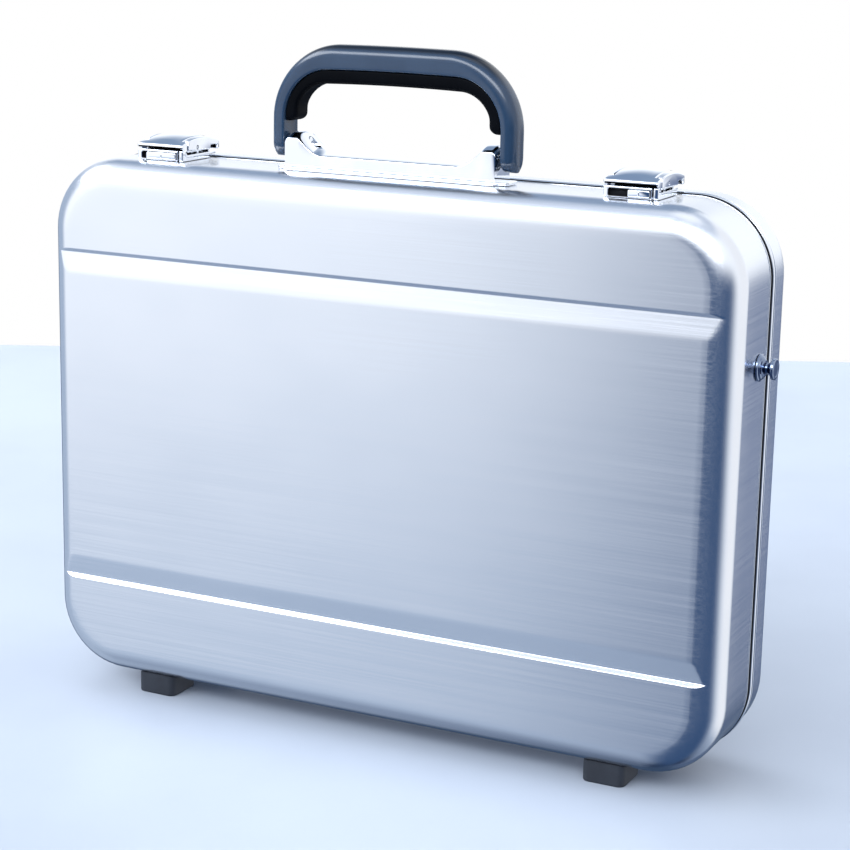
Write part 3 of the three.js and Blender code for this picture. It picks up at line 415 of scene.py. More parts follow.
# The handle's plastic has painted shade on its upward faces: a darker colour for the dimmer light on its top.
PLASTIC = moulded(
    "handle_plastic", (0.015, 0.034, 0.068), (0.02, 0.042, 0.08), 0.13, 2600, 0.000004,
    upper=(0.001, 0.003, 0.008),
)
GRIP = moulded("grip_rubber", (0.0006, 0.001, 0.002), (0.001, 0.0016, 0.003), 0.5, 2000, 0.00002, 0.05)
LINING = cloth("lining_cloth", (0.016, 0.018, 0.026), (0.04, 0.044, 0.058))
# Near-black matte for the latches' insides: painted shade in the recess under the lever's lip and in the
# button's window; in the window it also stands for the real latch's black backing.
SHADOW = moulded("latch_inside", (0.004, 0.005, 0.008), (0.008, 0.009, 0.013), 0.7, 900, 0.00002, 0.2)


def piece(node, shape, look, sharp=33, cutters=(), extra=()):
    """Turns a shape or one body into the piece that stands for a CAD node, riding on the node's body."""
    obj = object_of(node + "_fine", shape if isinstance(shape, Shape) else Shape().add(shape))
    for made in (look, *extra):
        obj.data.materials.append(made)
    cut(obj, cutters)
    obj.data.polygons.foreach_set("use_smooth", [True] * len(obj.data.polygons))
    obj.data.set_sharp_from_angle(angle=radians(sharp))
    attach(obj, BODY_OF[node])
    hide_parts(node)


# ---------- The case halves ----------

STRAIGHT_X = HALF_WIDTH - CORNER_RADIUS
STRAIGHT_Z = CASE_HEIGHT / 2 - CORNER_RADIUS


def smooth_max(a, b, blend):
    """The greater of two numbers, rounded off where they are within `blend` of each other."""
    near = max(blend - abs(a - b), 0) / blend
    return max(a, b) + near * near * blend / 4


def crease_depth(z):
    """How deep the two pressed creases reach behind the face at a height, negative away from them."""
    deepest = -50
    for middle, outward in ((CREASE_TOP, 1), (CREASE_BOTTOM, -1)):
        out = (z - middle) * outward
        steep = out * CREASE_DEPTH / CREASE_STEEP
        gentle = -out * CREASE_DEPTH / CREASE_GENTLE
        deepest = max(deepest, CREASE_DEPTH - smooth_max(steep, gentle, CREASE_BLEND))
    return deepest


def crease_rows():
    """Heights of the rows across the straight part of the sides, close together at the creases."""
    around = [-16, -14.4, -13.7, -13.2, -12.8, -12.4, -12, -11.6, -11, -10, -7.5, -5, -3, -1.8, -1.1]
    around += [-0.7, -0.4, -0.2, 0, 0.1, 0.2, 0.4, 0.8, 1.3, 1.6, 1.8, 1.95, 2.1, 2.25, 2.5, 2.9, 3.6, 5]
    reach, between = -around[0], 18
    inner_low, inner_high = CREASE_BOTTOM + reach, CREASE_TOP - reach
    rows = [CASE_MIDDLE - STRAIGHT_Z, CASE_MIDDLE + STRAIGHT_Z]
    rows += [CREASE_TOP + step for step in around]
    rows += [CREASE_BOTTOM - step for step in around]
    rows += [inner_low + (inner_high - inner_low) * i / between for i in range(between + 1)]
    return sorted({round(row, 3) for row in rows})


ROWS = crease_rows()
COLUMN_COUNT = 24
COLUMNS = [-STRAIGHT_X + 2 * STRAIGHT_X * i / COLUMN_COUNT for i in range(COLUMN_COUNT + 1)]
QUARTERS = [(1, 1), (-1, 1), (-1, -1), (1, -1)]


def case_corner(index, offset, steps):
    """Points (x, z) round one corner of the case, at an offset outwards from its outline."""
    sign_x, sign_z = QUARTERS[index]
    radius = CORNER_RADIUS + offset
    points = []
    for step in range(steps + 1):
        angle = (index + step / steps) * pi / 2
        x = sign_x * STRAIGHT_X + radius * cos(angle)
        points.append((x, CASE_MIDDLE + sign_z * STRAIGHT_Z + radius * sin(angle)))
    return points


def case_ring(reach):
    """One turn round the case in (x, z), a distance in from its outline, with the rows and columns."""
    right, top = HALF_WIDTH - reach, CASE_HEIGHT / 2 - reach
    straights = [
        [(right, z) for z in ROWS],
        [(x, CASE_MIDDLE + top) for x in reversed(COLUMNS)],
        [(-right, z) for z in reversed(ROWS)],
        [(x, CASE_MIDDLE - top) for x in COLUMNS],
    ]
    ring = []
    for index, straight in enumerate(straights):
        ring += straight + case_corner(index, -reach, 14)[1:-1]
    return ring


def half_surface(reach, face, radius, rim, creased, side):
    """One skin of a case half, from its rim over the rounded edge to the middle of its face."""
    stations = [(reach, rim), (reach, (rim + face + radius) / 2)]
    stations += [(reach + drop, face + shrink) for shrink, drop in rounding(radius, 18)]
    stations += [(distance, face) for distance in (reach + radius + 4, 33, 40, CORNER_RADIUS)]
    flat_places = [(x, z, depth) for distance, depth in stations for x, z in case_ring(distance)]
    start = len(flat_places)
    flat_places += [(x, z, face) for z in ROWS for x in COLUMNS]
    points = []
    for x, z, depth in flat_places:
        if creased:
            depth = smooth_max(depth, face + crease_depth(z), CREASE_BLEND)
        points.append((x, at_depth(depth if side == "base" else CASE_DEPTH - depth), z))
    faces = bands(len(case_ring(0)), len(stations))
    wide = len(COLUMNS)
    for row in range(len(ROWS) - 1):
        for column in range(wide - 1):
            a = start + row * wide + column
            faces.append([a, a + 1, a + 1 + wide, a + wide])
    return points, faces


def half_shell(side, outer, inner, rim, creased=True):
    """A case half or its lining: two skins joined at the rim. Each skin is (reach, face, radius)."""
    rim = rim if side == "base" else CASE_DEPTH - rim
    shape = Shape().add(half_surface(*outer, rim, creased, side))
    count, start = len(case_ring(0)), len(shape.points)
    shape.add(half_surface(*inner, rim, creased, side))
    shape.faces += [[i, start + i, start + (i + 1) % count, (i + 1) % count] for i in range(count)]
    shape.kinds += [0] * count
    return shape


def wall_hole(side, radius, inner=7):
    """A hole through a side wall for the strap stud, from a distance inside the wall."""
    low, high = mirrored(side, HALF_WIDTH - inner, HALF_WIDTH + 5)
    return rod("x", radius, low, high, (at_depth(STUD_DEPTH), STUD_Z))


def foot_centre(side, depths):
    return side * FOOT_X, at_depth(sum(depths) / 2)


def foot_hole(side, depths, radius):
    return rod("z", radius, FOOT_HEIGHT - 4, FOOT_HEIGHT + 9, foot_centre(side, depths))


BRACKET_SCREW_X = 34
STUD_DEPTH, STUD_Z = 42.3, FOOT_HEIGHT + 242
OUTER_SKIN, INNER_SKIN = (0, 0, EDGE_RADIUS), (SHEET, SHEET, EDGE_RADIUS - SHEET)
base_holes, lid_holes = [], []
for hand in SIDES.values():
    base_holes.append(wall_hole(hand, 2.2))
    base_holes.append(rod("z", 2.3, CASE_TOP - 4, CASE_TOP + 4, (hand * BRACKET_SCREW_X, HANDLE_Y)))
    base_holes.append(foot_hole(hand, FRONT_FOOT_DEPTH, 2.0))
    lid_holes.append(foot_hole(hand, REAR_FOOT_DEPTH, 2.0))
piece("base_shell", half_shell("base", OUTER_SKIN, INNER_SKIN, BASE_RIM), BRUSHED, cutters=base_holes)
piece("lid_shell", half_shell("lid", OUTER_SKIN, INNER_SKIN, LID_RIM), BRUSHED, cutters=lid_holes)

LINING_OUT, LINING_IN = (1.8, 6.2, 10), (5.3, 9.7, 6.5)
BASE_LINING_RIM, LID_LINING_RIM = 45.8, 68.7
base_board = half_shell("base", LINING_OUT, LINING_IN, BASE_LINING_RIM, creased=False)
lid_board = half_shell("lid", LINING_OUT, LINING_IN, LID_LINING_RIM, creased=False)
plate_space = rectangle(-60.5, 60.5, HANDLE_Y - 9.5, HANDLE_Y + 9.5, 4)
board_holes = [slab("z", plate_space, CASE_TOP - 9.8, CASE_TOP + 1, 0)]
lid_board_holes = []
for hand in SIDES.values():
    board_holes.append(wall_hole(hand, 3.4, inner=3.5))
    board_holes.append(foot_hole(hand, FRONT_FOOT_DEPTH, 2.3))
    lid_board_holes.append(foot_hole(hand, REAR_FOOT_DEPTH, 2.3))
piece("base_lining", base_board, LINING, cutters=board_holes)
piece("lid_lining", lid_board, LINING, cutters=lid_board_holes)

# ---------- The rims and the seal ----------


def around_case(profile):
    """A profile of (offset, depth) points carried once round the case's outline."""
    steps = 20
    turns = [[case_corner(index, offset, steps) for offset, _ in profile] for index in range(4)]
    rings = []
    for corners in turns:
        for places in zip(*corners):
            rings.append([(x, at_depth(depth), z) for (x, z), (_, depth) in zip(places, profile)])
    return loft(rings, closed=True)


WEB_INNER, WEB_OUTER = -3.6, -1.8
BASE_LIP = [(0.3, 54.3, 0.3), (0.3, 55.6, 0.3), (WEB_INNER, 55.6, 0.3), (WEB_INNER, 46.5, 0.3)]
BASE_LIP += [(WEB_OUTER, 46.5, 0.3), (WEB_OUTER, 54.3, 0)]
LID_BEAD = [(1.15, 58.1, 1.5), (1.15, 61.2, 1.5), (0.0, 61.7, 0.2), (0.0, 62.5, 0.2), (0.8, 62.9, 0.4)]
LID_BEAD += [(0.8, 64.6, 0.6), (WEB_OUTER, 64.6, 0), (WEB_OUTER, 68, 0.3), (WEB_INNER, 68, 0.3)]
LID_BEAD += [(WEB_INNER, 58.1, 0.3)]
SEAL_STRIP = [(0.75, 55.7, 0.5), (0.75, 58.0, 0.5), (-3.3, 58.0, 0.15), (-3.3, 55.7, 0.15)]
piece("base_valance", around_case(fillet(BASE_LIP, 3)), POLISHED)
piece("lid_valance", around_case(fillet(LID_BEAD, 5)), POLISHED, sharp=50)
piece("seam_seal", around_case(fillet(SEAL_STRIP, 2)), SEAL)

# ---------- Feet ----------

SCREW_HEAD = (2.6, 4.7)


def edge_height(depth):
    """Height of the shell's underside above the foot line at a depth from its own face."""
    inward = max(EDGE_RADIUS - depth, 0)
    return EDGE_RADIUS - sqrt(EDGE_RADIUS**2 - inward**2)


def foot(node, side, depths, half):
    """A rubber foot: rounded block, softened sole, and a top hollowed to the shell's edge."""
    x, _ = foot_centre(side, depths)
    outline = rectangle(x - FOOT_WIDTH / 2, x + FOOT_WIDTH / 2, *map(at_depth, depths), 4.5, 8)
    rings = []
    for shrink, lift in rounding(1.1, 4):
        rings.append([(u, v, lift) for u, v in inset(outline, shrink)])
    for shrink, drop in ((0, 0.35), (0.35, 0), (4, 0)):
        ring = []
        for u, v in inset(outline, shrink):
            depth = v + CASE_DEPTH / 2
            rise = edge_height(depth if half == "base" else CASE_DEPTH - depth)
            ring.append((u, v, FOOT_HEIGHT - GAP + min(rise, 1.4) - drop))
        rings.append(ring)
    centre = foot_centre(side, depths)
    holes = [rod("z", 2.0, -1, FOOT_HEIGHT + 5, centre), rod("z", 3.7, -1, SCREW_HEAD[1] + GAP, centre)]
    piece(node, loft(rings), FOOT, cutters=holes)


def cross_recess(centre, low, high):
    arm, half = 1.9, 0.42
    x, y = centre
    arms = [(-half, -half), (-half, -arm), (half, -arm)]
    outline = []
    for _ in range(4):
        outline += [(x + u, y + v) for u, v in arms]
        arms = [(-v, u) for u, v in arms]
    return slab("z", outline, low, high, 0)


def screw(node, centre, head, radii, tip):
    """A pan-head screw that stands along Z, head down, with a cross recess and thread lines."""
    (bottom, top), (head_radius, shank) = head, radii
    pitch, thread = 0.7, 0.22
    profile = rounded_profile([(head_radius, bottom, 0.9), (head_radius, top, 0.15), (shank, top, 0)])
    profile = [point for point in profile if point[0] > shank or point[1] < top]
    profile.append((shank, top))
    for turn in range(int((tip - top - 1) / pitch)):
        z = top + 0.3 + turn * pitch
        profile += [(shank, z), (shank - thread, z + pitch / 2)]
    profile += [(shank, tip - 0.6), (shank - 0.5, tip)]
    recess = cross_recess(centre, bottom - 1, bottom + 1.1)
    piece(node, turned("z", profile, centre, segments=32), STEEL, cutters=[recess])


for name, hand in SIDES.items():
    foot(f"front_foot_{name}", hand, FRONT_FOOT_DEPTH, "base")
    foot(f"rear_foot_{name}", hand, REAR_FOOT_DEPTH, "lid")
    for end, depths in (("front", FRONT_FOOT_DEPTH), ("rear", REAR_FOOT_DEPTH)):
        centre, tip = foot_centre(hand, depths), FOOT_HEIGHT + SHEET + 2
        screw(f"{end}_foot_screw_{name}", centre, SCREW_HEAD, (3.4, 1.7), tip)

# ---------- Handle ----------

HANDLE_HALF, HANDLE_TOP, HANDLE_CORNER, INNER_CORNER = 80.9, CASE_TOP + 76.4, 44, 29
HANDLE_CROWN = 1.6
HANDLE_LEG, HANDLE_BRIDGE = 9.4, 14.6
SHELL_HALF, SHELL_EDGES = 9.0, (7.4, 1.4)
GRIP_HALF, GRIP_EDGES, GRIP_LEG, GRIP_BRIDGE, GRIP_CORNER = 7.8, (0.8, 3.0), 6.5, 8.1, 20
GRIP_BOTTOM, GRIP_END, GRIP_FLARE = CASE_TOP + 29.4, 4.6, 1.3


def arch(half_width, top, radius, bottom, leg_steps=5):
    """The handle's arch in (x, z), from its left end up, over, and down to its right end."""
    centre_x, centre_z = half_width - radius, top - radius
    corner_steps, bridge_steps = 22, 10

    def crown(x):
        return HANDLE_CROWN * (x / half_width) ** 2

    left = []
    for step in range(leg_steps):
        left.append((-half_width, bottom + (centre_z - HANDLE_CROWN - bottom) * step / leg_steps))
    for step in range(corner_steps + 1):
        angle = pi - step / corner_steps * pi / 2
        x = -centre_x + radius * cos(angle)
        left.append((x, centre_z + radius * sin(angle) - crown(x)))
    bridge = [-centre_x + 2 * centre_x * step / bridge_steps for step in range(1, bridge_steps)]
    return left + [(x, top - crown(x)) for x in bridge] + [(-x, z) for x, z in reversed(left)]


def bar_ring(outer, inner, half, edges):
    """A rounded section between an outer and an inner point of the arch, `half` to each side in Y."""
    length = hypot(outer[0] - inner[0], outer[1] - inner[1])
    outer_edge = min(edges[0], half * 0.98, length * 0.6)
    inner_edge = min(edges[1], half * 0.98, length * 0.35)
    corners = [(0, -half, outer_edge), (length, -half, inner_edge)]
    corners += [(length, half, inner_edge), (0, half, outer_edge)]
    ring = []
    for along, y in fillet(corners, 5):
        share = along / length
        x = outer[0] + (inner[0] - outer[0]) * share
        z = outer[1] + (inner[1] - outer[1]) * share
        ring.append((x, HANDLE_Y + y, z))
    return ring


def with_ends(rings, end, steps, degrees):
    """A bar's rings with a rounded end added to each leg, from a function that makes one end ring."""
    turn = quarter(steps, degrees)[1:]
    left, right = ([end(side, sine, cosine) for sine, cosine in turn] for side in (-1, 1))
    return left[::-1] + rings + right


def handle_shell():
    """The moulded shell: a bar along the arch whose two legs end in half rounds about the pivot."""
    outer = arch(HANDLE_HALF, HANDLE_TOP, HANDLE_CORNER, HANDLE_Z)
    inner = arch(HANDLE_HALF - HANDLE_LEG, HANDLE_TOP - HANDLE_BRIDGE, INNER_CORNER, HANDLE_Z)

    def end(side, sine, cosine):
        shrink = 1.6 * (1 - cosine) ** 2
        z = HANDLE_Z - SHELL_HALF * sine
        a = (side * (HANDLE_HALF - shrink), z)
        b = (side * (HANDLE_HALF - HANDLE_LEG + shrink), z)
        return bar_ring(a, b, SHELL_HALF * cosine, SHELL_EDGES)

    rings = [bar_ring(a, b, SHELL_HALF, SHELL_EDGES) for a, b in zip(outer, inner)]
    return loft(with_ends(rings, end, 12, 84))


def handle_grip():
    """The soft inner grip, a little narrower than the shell, with rounded ends that flare slightly."""
    half_width, top = HANDLE_HALF - HANDLE_LEG - GAP, HANDLE_TOP - HANDLE_BRIDGE - GAP
    outer = arch(half_width, top, INNER_CORNER - GAP, GRIP_BOTTOM, leg_steps=8)
    inner = arch(half_width - GRIP_LEG, top - GRIP_BRIDGE, GRIP_CORNER, GRIP_BOTTOM, leg_steps=8)

    def flare(above):
        return GRIP_FLARE * exp(-(((above - 3.5) / 4.5) ** 2))

    def end(side, sine, cosine):
        shrink, above = GRIP_END * (1 - cosine), GRIP_END * (1 - sine)
        a = (side * half_width, GRIP_BOTTOM + above)
        b = (side * (half_width - GRIP_LEG - flare(above) + shrink), GRIP_BOTTOM + above)
        return bar_ring(a, b, GRIP_HALF - 0.4 * shrink, GRIP_EDGES)

    rings = []
    for a, b in zip(outer, inner):
        above = min(a[1], b[1]) - GRIP_BOTTOM
        if above >= GRIP_END:
            out = flare(above) if abs(a[0]) > 60 else 0
            rings.append(bar_ring(a, (b[0] - copysign(out, b[0]), b[1]), GRIP_HALF, GRIP_EDGES))
    return loft(with_ends(rings, end, 8, 88))


HANDLE_AXIS = (HANDLE_Y, HANDLE_Z)
pin_holes = [rod("x", 2.7, *mirrored(hand, 61, 77.8), HANDLE_AXIS) for hand in SIDES.values()]
piece("handle_shell", handle_shell(), PLASTIC, cutters=pin_holes)
piece("handle_grip", handle_grip(), GRIP)

# ---------- Handle bracket ----------

BRACKET_HALF, BRACKET_SIDE, TONGUE_END = 69.7, 12.0, 77.0
FLAT_HEIGHT, FLAT_HALF = 8.6, 44.3
EAR_INNER, EAR_TOP, EAR_ROUND, EAR_DROP, EAR_CROWN = 61, 19.8, 3.0, 1.6, 2.4
BRACKET_CROWN, CROWN_LIFT, FLANGE_TOP, FLANGE_STEP, COVE = 1.2, 1.2, 2.3, 1.3, 1.9


def bracket_height(x):
    """Height of the bracket's long edge above the case: low in the middle, an ear at each end."""
    share = max(abs(x) - FLAT_HALF, 0) / (EAR_INNER - FLAT_HALF)
    slope = 1 - cos(min(share, 1.25) * pi / 2)
    rise = FLAT_HEIGHT + CROWN_LIFT + (EAR_TOP - FLAT_HEIGHT) * slope
    height = -smooth_max(-rise, -EAR_TOP - CROWN_LIFT, 1.2)
    beyond = max(abs(x) - (BRACKET_HALF - EAR_ROUND), 0)
    return height - EAR_ROUND + sqrt(max(EAR_ROUND**2 - beyond**2, 0))


def bracket_section(x):
    """One section of the bracket, a flange below and a crowned top with rounded edges."""
    low, body, height = GAP, BRACKET_SIDE - FLANGE_STEP, bracket_height(x)
    cove = []
    for sine, cosine in quarter(6)[1:]:
        cove.append((body + FLANGE_STEP * (1 - sine), FLANGE_TOP + COVE * (1 - cosine), 0))
    corners = [(-BRACKET_SIDE, low, 0.2), (BRACKET_SIDE, low, 0.2), (BRACKET_SIDE, FLANGE_TOP, 0.3), *cove]
    ear = max(min((height - FLAT_HEIGHT - CROWN_LIFT) / (EAR_TOP - FLAT_HEIGHT), 1), 0)
    corners.append((body, height, 0.9))
    height -= EAR_DROP * ear
    steps = 12
    for step in range(1, steps):
        across = 1 - 2 * step / steps
        crown = (BRACKET_CROWN + EAR_CROWN * ear) * (1 - across**2)
        corners.append((across * body, height + crown, 0))
    corners += [(-body, height, 0.9), *((-y, z, 0) for y, z, _ in reversed(cove))]
    corners.append((-BRACKET_SIDE, FLANGE_TOP, 0.3))
    return [(x, HANDLE_Y + y, CASE_TOP + z) for y, z in fillet(corners, 4)]


def handle_bracket():
    rise_steps, ear_end = 26, BRACKET_HALF - EAR_ROUND
    places = [0, 12, 24, 34, 41, FLAT_HALF]
    rise = (EAR_INNER + 1 - FLAT_HALF) / rise_steps
    places += [FLAT_HALF + rise * step for step in range(1, rise_steps + 1)]
    places += [64, ear_end]
    places += [ear_end + EAR_ROUND * sine for sine, _ in quarter(10, 86)[1:]]
    whole = [-x for x in reversed(places[1:])] + places
    shape = Shape().add(loft([bracket_section(x) for x in whole]))
    for hand in SIDES.values():
        low, high = mirrored(hand, BRACKET_HALF - 3, TONGUE_END)
        tongue = rectangle(low, high, HANDLE_Y - 8, HANDLE_Y + 8, 3, 6)
        shape.add(slab("z", tongue, CASE_TOP + GAP, CASE_TOP + FLANGE_TOP - 0.2, 0.6))
    return shape


PLATE_TOP = CASE_TOP - SHEET - GAP
bracket_holes, plate_holes = [], []
for hand in SIDES.values():
    screw_place = (hand * BRACKET_SCREW_X, HANDLE_Y)
    bracket_holes.append(rod("x", 2.7, *mirrored(hand, 40, 72), HANDLE_AXIS))
    bracket_holes.append(rod("x", 3.7, *mirrored(hand, 40, 59.1), HANDLE_AXIS))
    bracket_holes.append(rod("z", 2.3, CASE_TOP - 1, CASE_TOP + 6.6, screw_place))
    plate_holes.append(rod("z", 2.3, PLATE_TOP - 5, PLATE_TOP + 5, screw_place))
piece("handle_bracket", handle_bracket(), CHROME, sharp=42, cutters=bracket_holes)
plate = rectangle(-60, 60, HANDLE_Y - 9, HANDLE_Y + 9, 4)
piece("handle_backing_plate", slab("z", plate, PLATE_TOP - 2, PLATE_TOP, 0.3), STEEL, cutters=plate_holes)

for name, hand in SIDES.items():
    head = PLATE_TOP - 2 - GAP
    screw_place = (hand * BRACKET_SCREW_X, HANDLE_Y)
    screw(f"bracket_screw_{name}", screw_place, (head - 2, head), (3.6, 2.0), CASE_TOP + 6.3)
    pin = rounded_profile([(3.4, 57.3, 0.8), (3.4, 58.8, 0.2), (2.4, 58.8, 0), (2.4, 77.5, 0.3)])
    pin = [(radius, hand * along) for radius, along in pin]
    piece(f"handle_pin_{name}", turned("x", pin, HANDLE_AXIS), CHROME)

# ---------- Latches ----------

LATCH_FRONT, LATCH_REAR, CASING_REAR = 18.7, 62.0, 50.0
LEVER_DEPTH, LEVER_HEIGHT = 47.0, 10.9
HOOK_DEPTH, HOOK_HEIGHT = 36.0, 8.0
BARREL, LEVER_HALF, LEVER_BOTTOM, LIP_BOTTOM, LEVER_WALL = 4.0, 12.9, 6.2, 7.9, 1.5
SHOULDER = 24.0
ARM_INNER, ARM_FRONT, ARM_BOTTOM, ARM_CUT = 13.4, 25.3, 5.4, 1.9
HOOK_BOTTOM, CLAW_THICK, CLAW_BOTTOM = 8.0, 2.0, 5.1
DOME_EDGE, DOME_RISE, DOME_MIDDLE, DOME_HALF, DOME_DROOP = 10.4, 5.0, 40.5, 22.0, 0.35
BUTTONS = {"left": (-9.9, 11.6), "right": (-1.6, 11.6)}
WINDOW = (-13.6, 12, 0.9, 5.4)
CASING_TOP, BAR_THICK = 6.8, 4.4
SLOT = (12.8, 13.7)
LEVER_AXIS = (at_depth(LEVER_DEPTH), CASE_TOP + LEVER_HEIGHT)
HOOK_AXIS = (at_depth(HOOK_DEPTH), CASE_TOP + HOOK_HEIGHT)


def dome(dx, depth):
    """Height of a latch's domed top above the case."""
    along = (depth - DOME_MIDDLE) / DOME_HALF
    across = dx / LATCH_HALF
    return DOME_EDGE + DOME_RISE * (1 - along**2) * (1 - DOME_DROOP * across**2)


def latch_point(side, dx, depth, height):
    return side * LATCH_X + dx, at_depth(depth), CASE_TOP + height


def lever_top(dx, depth):
    """The lever's top: the dome, then round the barrel at its back."""
    height = dome(dx, min(depth, LEVER_DEPTH + 2))
    if depth <= LEVER_DEPTH:
        return height
    return min(height, LEVER_HEIGHT + sqrt(max(BARREL**2 - (depth - LEVER_DEPTH) ** 2, 0)))


def lever_ring(side, depth, half, bottom, shrink=0.0, hollow=True):
    """A section of the lever across X: a channel that is open below, with rounded shoulders."""
    edge, steps, middle, count = 1.3, 6, 12, 8
    side_x, low = half - shrink, bottom + shrink
    outer = [(-side_x, low)]
    for inward, along in rounding(edge, steps):
        outer.append((along - side_x, lever_top(along - side_x, depth) - shrink - inward))
    for step in range(1, middle):
        dx = (edge - side_x) * (1 - 2 * step / middle)
        outer.append((dx, lever_top(dx, depth) - shrink))
    outer += [(-dx, z) for dx, z in reversed(outer[: steps + 2])]
    wall = half - LEVER_WALL
    inner = [(wall, low)]
    for step in range(count + 1):
        dx = wall * (1 - 2 * step / count)
        roof = max(lever_top(dx, depth) - shrink - LEVER_WALL, bottom + 0.1) if hollow else low + 0.05
        inner.append((dx, roof))
    inner.append((-wall, low))
    return [latch_point(side, dx, depth, z) for dx, z in outer + inner]


def latch_lever(side):
    """The domed lever: a solid rounded lip in front, then a channel that narrows to its barrel."""
    front, count = LATCH_FRONT - 0.5, 12
    rings = []
    for shrink, drop in rounding(1.0, 5):
        rings.append(lever_ring(side, front + drop, LATCH_HALF, LIP_BOTTOM, shrink, hollow=False))
    rings.append(lever_ring(side, front + 2.9, LATCH_HALF, LIP_BOTTOM, hollow=False))
    sections = [(front + 3, LATCH_HALF), (SHOULDER - 0.4, LATCH_HALF), (SHOULDER, LATCH_HALF - 0.4)]
    sections.append((SHOULDER + 0.02, LEVER_HALF))
    for step in range(1, count + 1):
        sections.append((SHOULDER + (LEVER_DEPTH - SHOULDER) * step / count, LEVER_HALF))
    rings += [lever_ring(side, depth, half, LEVER_BOTTOM) for depth, half in sections]
    for degrees in (15, 30, 45, 57, 68):
        depth = LEVER_DEPTH + BARREL * sin(radians(degrees))
        rings.append(lever_ring(side, depth, LEVER_HALF, LEVER_HEIGHT + 0.2))
    shape = Shape().add(loft(rings))
    for hand in SIDES.values():
        ends = mirrored(hand, LEVER_HALF - LEVER_WALL, LEVER_HALF, side * LATCH_X)
        shape.add(boss(2.7, *ends, HOOK_AXIS))
    return shape


def hook_front(z):
    """Front of the hook's plate at a height above the case: it clears the lever's barrel."""
    above = max(z - LEVER_HEIGHT, 0)
    return LEVER_DEPTH + sqrt(max((BARREL + 0.55) ** 2 - above**2, 0)) + (0.1 if above == 0 else 0)


def hook_profile(dx, shrink):
    """The hook's outline in (depth, height) at a place across it; between its arms it is only a plate."""
    arm = abs(dx) > ARM_INNER
    low = (ARM_BOTTOM if arm else HOOK_BOTTOM) + shrink
    plate_start = LEVER_DEPTH + sqrt((BARREL + 0.5) ** 2 - 3.4**2)
    start = ARM_FRONT + ARM_CUT + shrink if arm else plate_start
    steps, climb, edge = 16, 6, 1.4
    rear = LATCH_REAR - shrink
    outline = []
    for step in range(steps + 1):
        depth = start + (rear - edge - start) * step / steps
        outline.append((depth, dome(dx, depth) - shrink))
    rear_top = dome(dx, rear - edge) - shrink
    outline += [(rear - shrunk, rear_top - drop) for shrunk, drop in rounding(edge, 4)[1:]]
    claw, claw_low, plate_low = LATCH_REAR - CLAW_THICK + shrink, CLAW_BOTTOM + shrink, HOOK_BOTTOM + shrink
    outline += [(rear, claw_low + 0.5), (rear - 0.5, claw_low)]
    outline += [(claw + 0.3, claw_low), (claw, claw_low + 0.3)]
    outline += [(claw, plate_low), (51.7, plate_low), (51.4 - shrink if arm else 51.7, low)]
    for step in range(climb + 1):
        share = step / climb
        if arm:
            front = ARM_FRONT + shrink
            top = dome(dx, front) - shrink - 2.2
            outline.append((front + (0 if step else 0.4), low + (top - low) * share))
        else:
            z = max(LEVER_HEIGHT, low) + 3.4 * share if step else low
            outline.append((hook_front(z) + shrink, min(z, dome(dx, start) - shrink - 0.1)))
    return outline


def latch_hook(side):
    """The hook over the lever's rear: a domed plate with a claw behind and an arm at each side."""
    edge, flat = 0.9, 8
    places = [(LATCH_HALF - drop, shrink) for shrink, drop in rounding(edge, 5)]
    places += [((LATCH_HALF - edge) * i / flat, 0.0) for i in range(1, flat)]
    places += [(ARM_INNER - 0.02, 0.0), (ARM_INNER + 0.02, 0.0)]
    places += [(-dx, shrink) for dx, shrink in places] + [(0, 0.0)]
    rings = []
    for dx, shrink in sorted(places):
        rings.append([latch_point(side, dx, depth, z) for depth, z in hook_profile(dx, shrink)])
    return loft(rings)


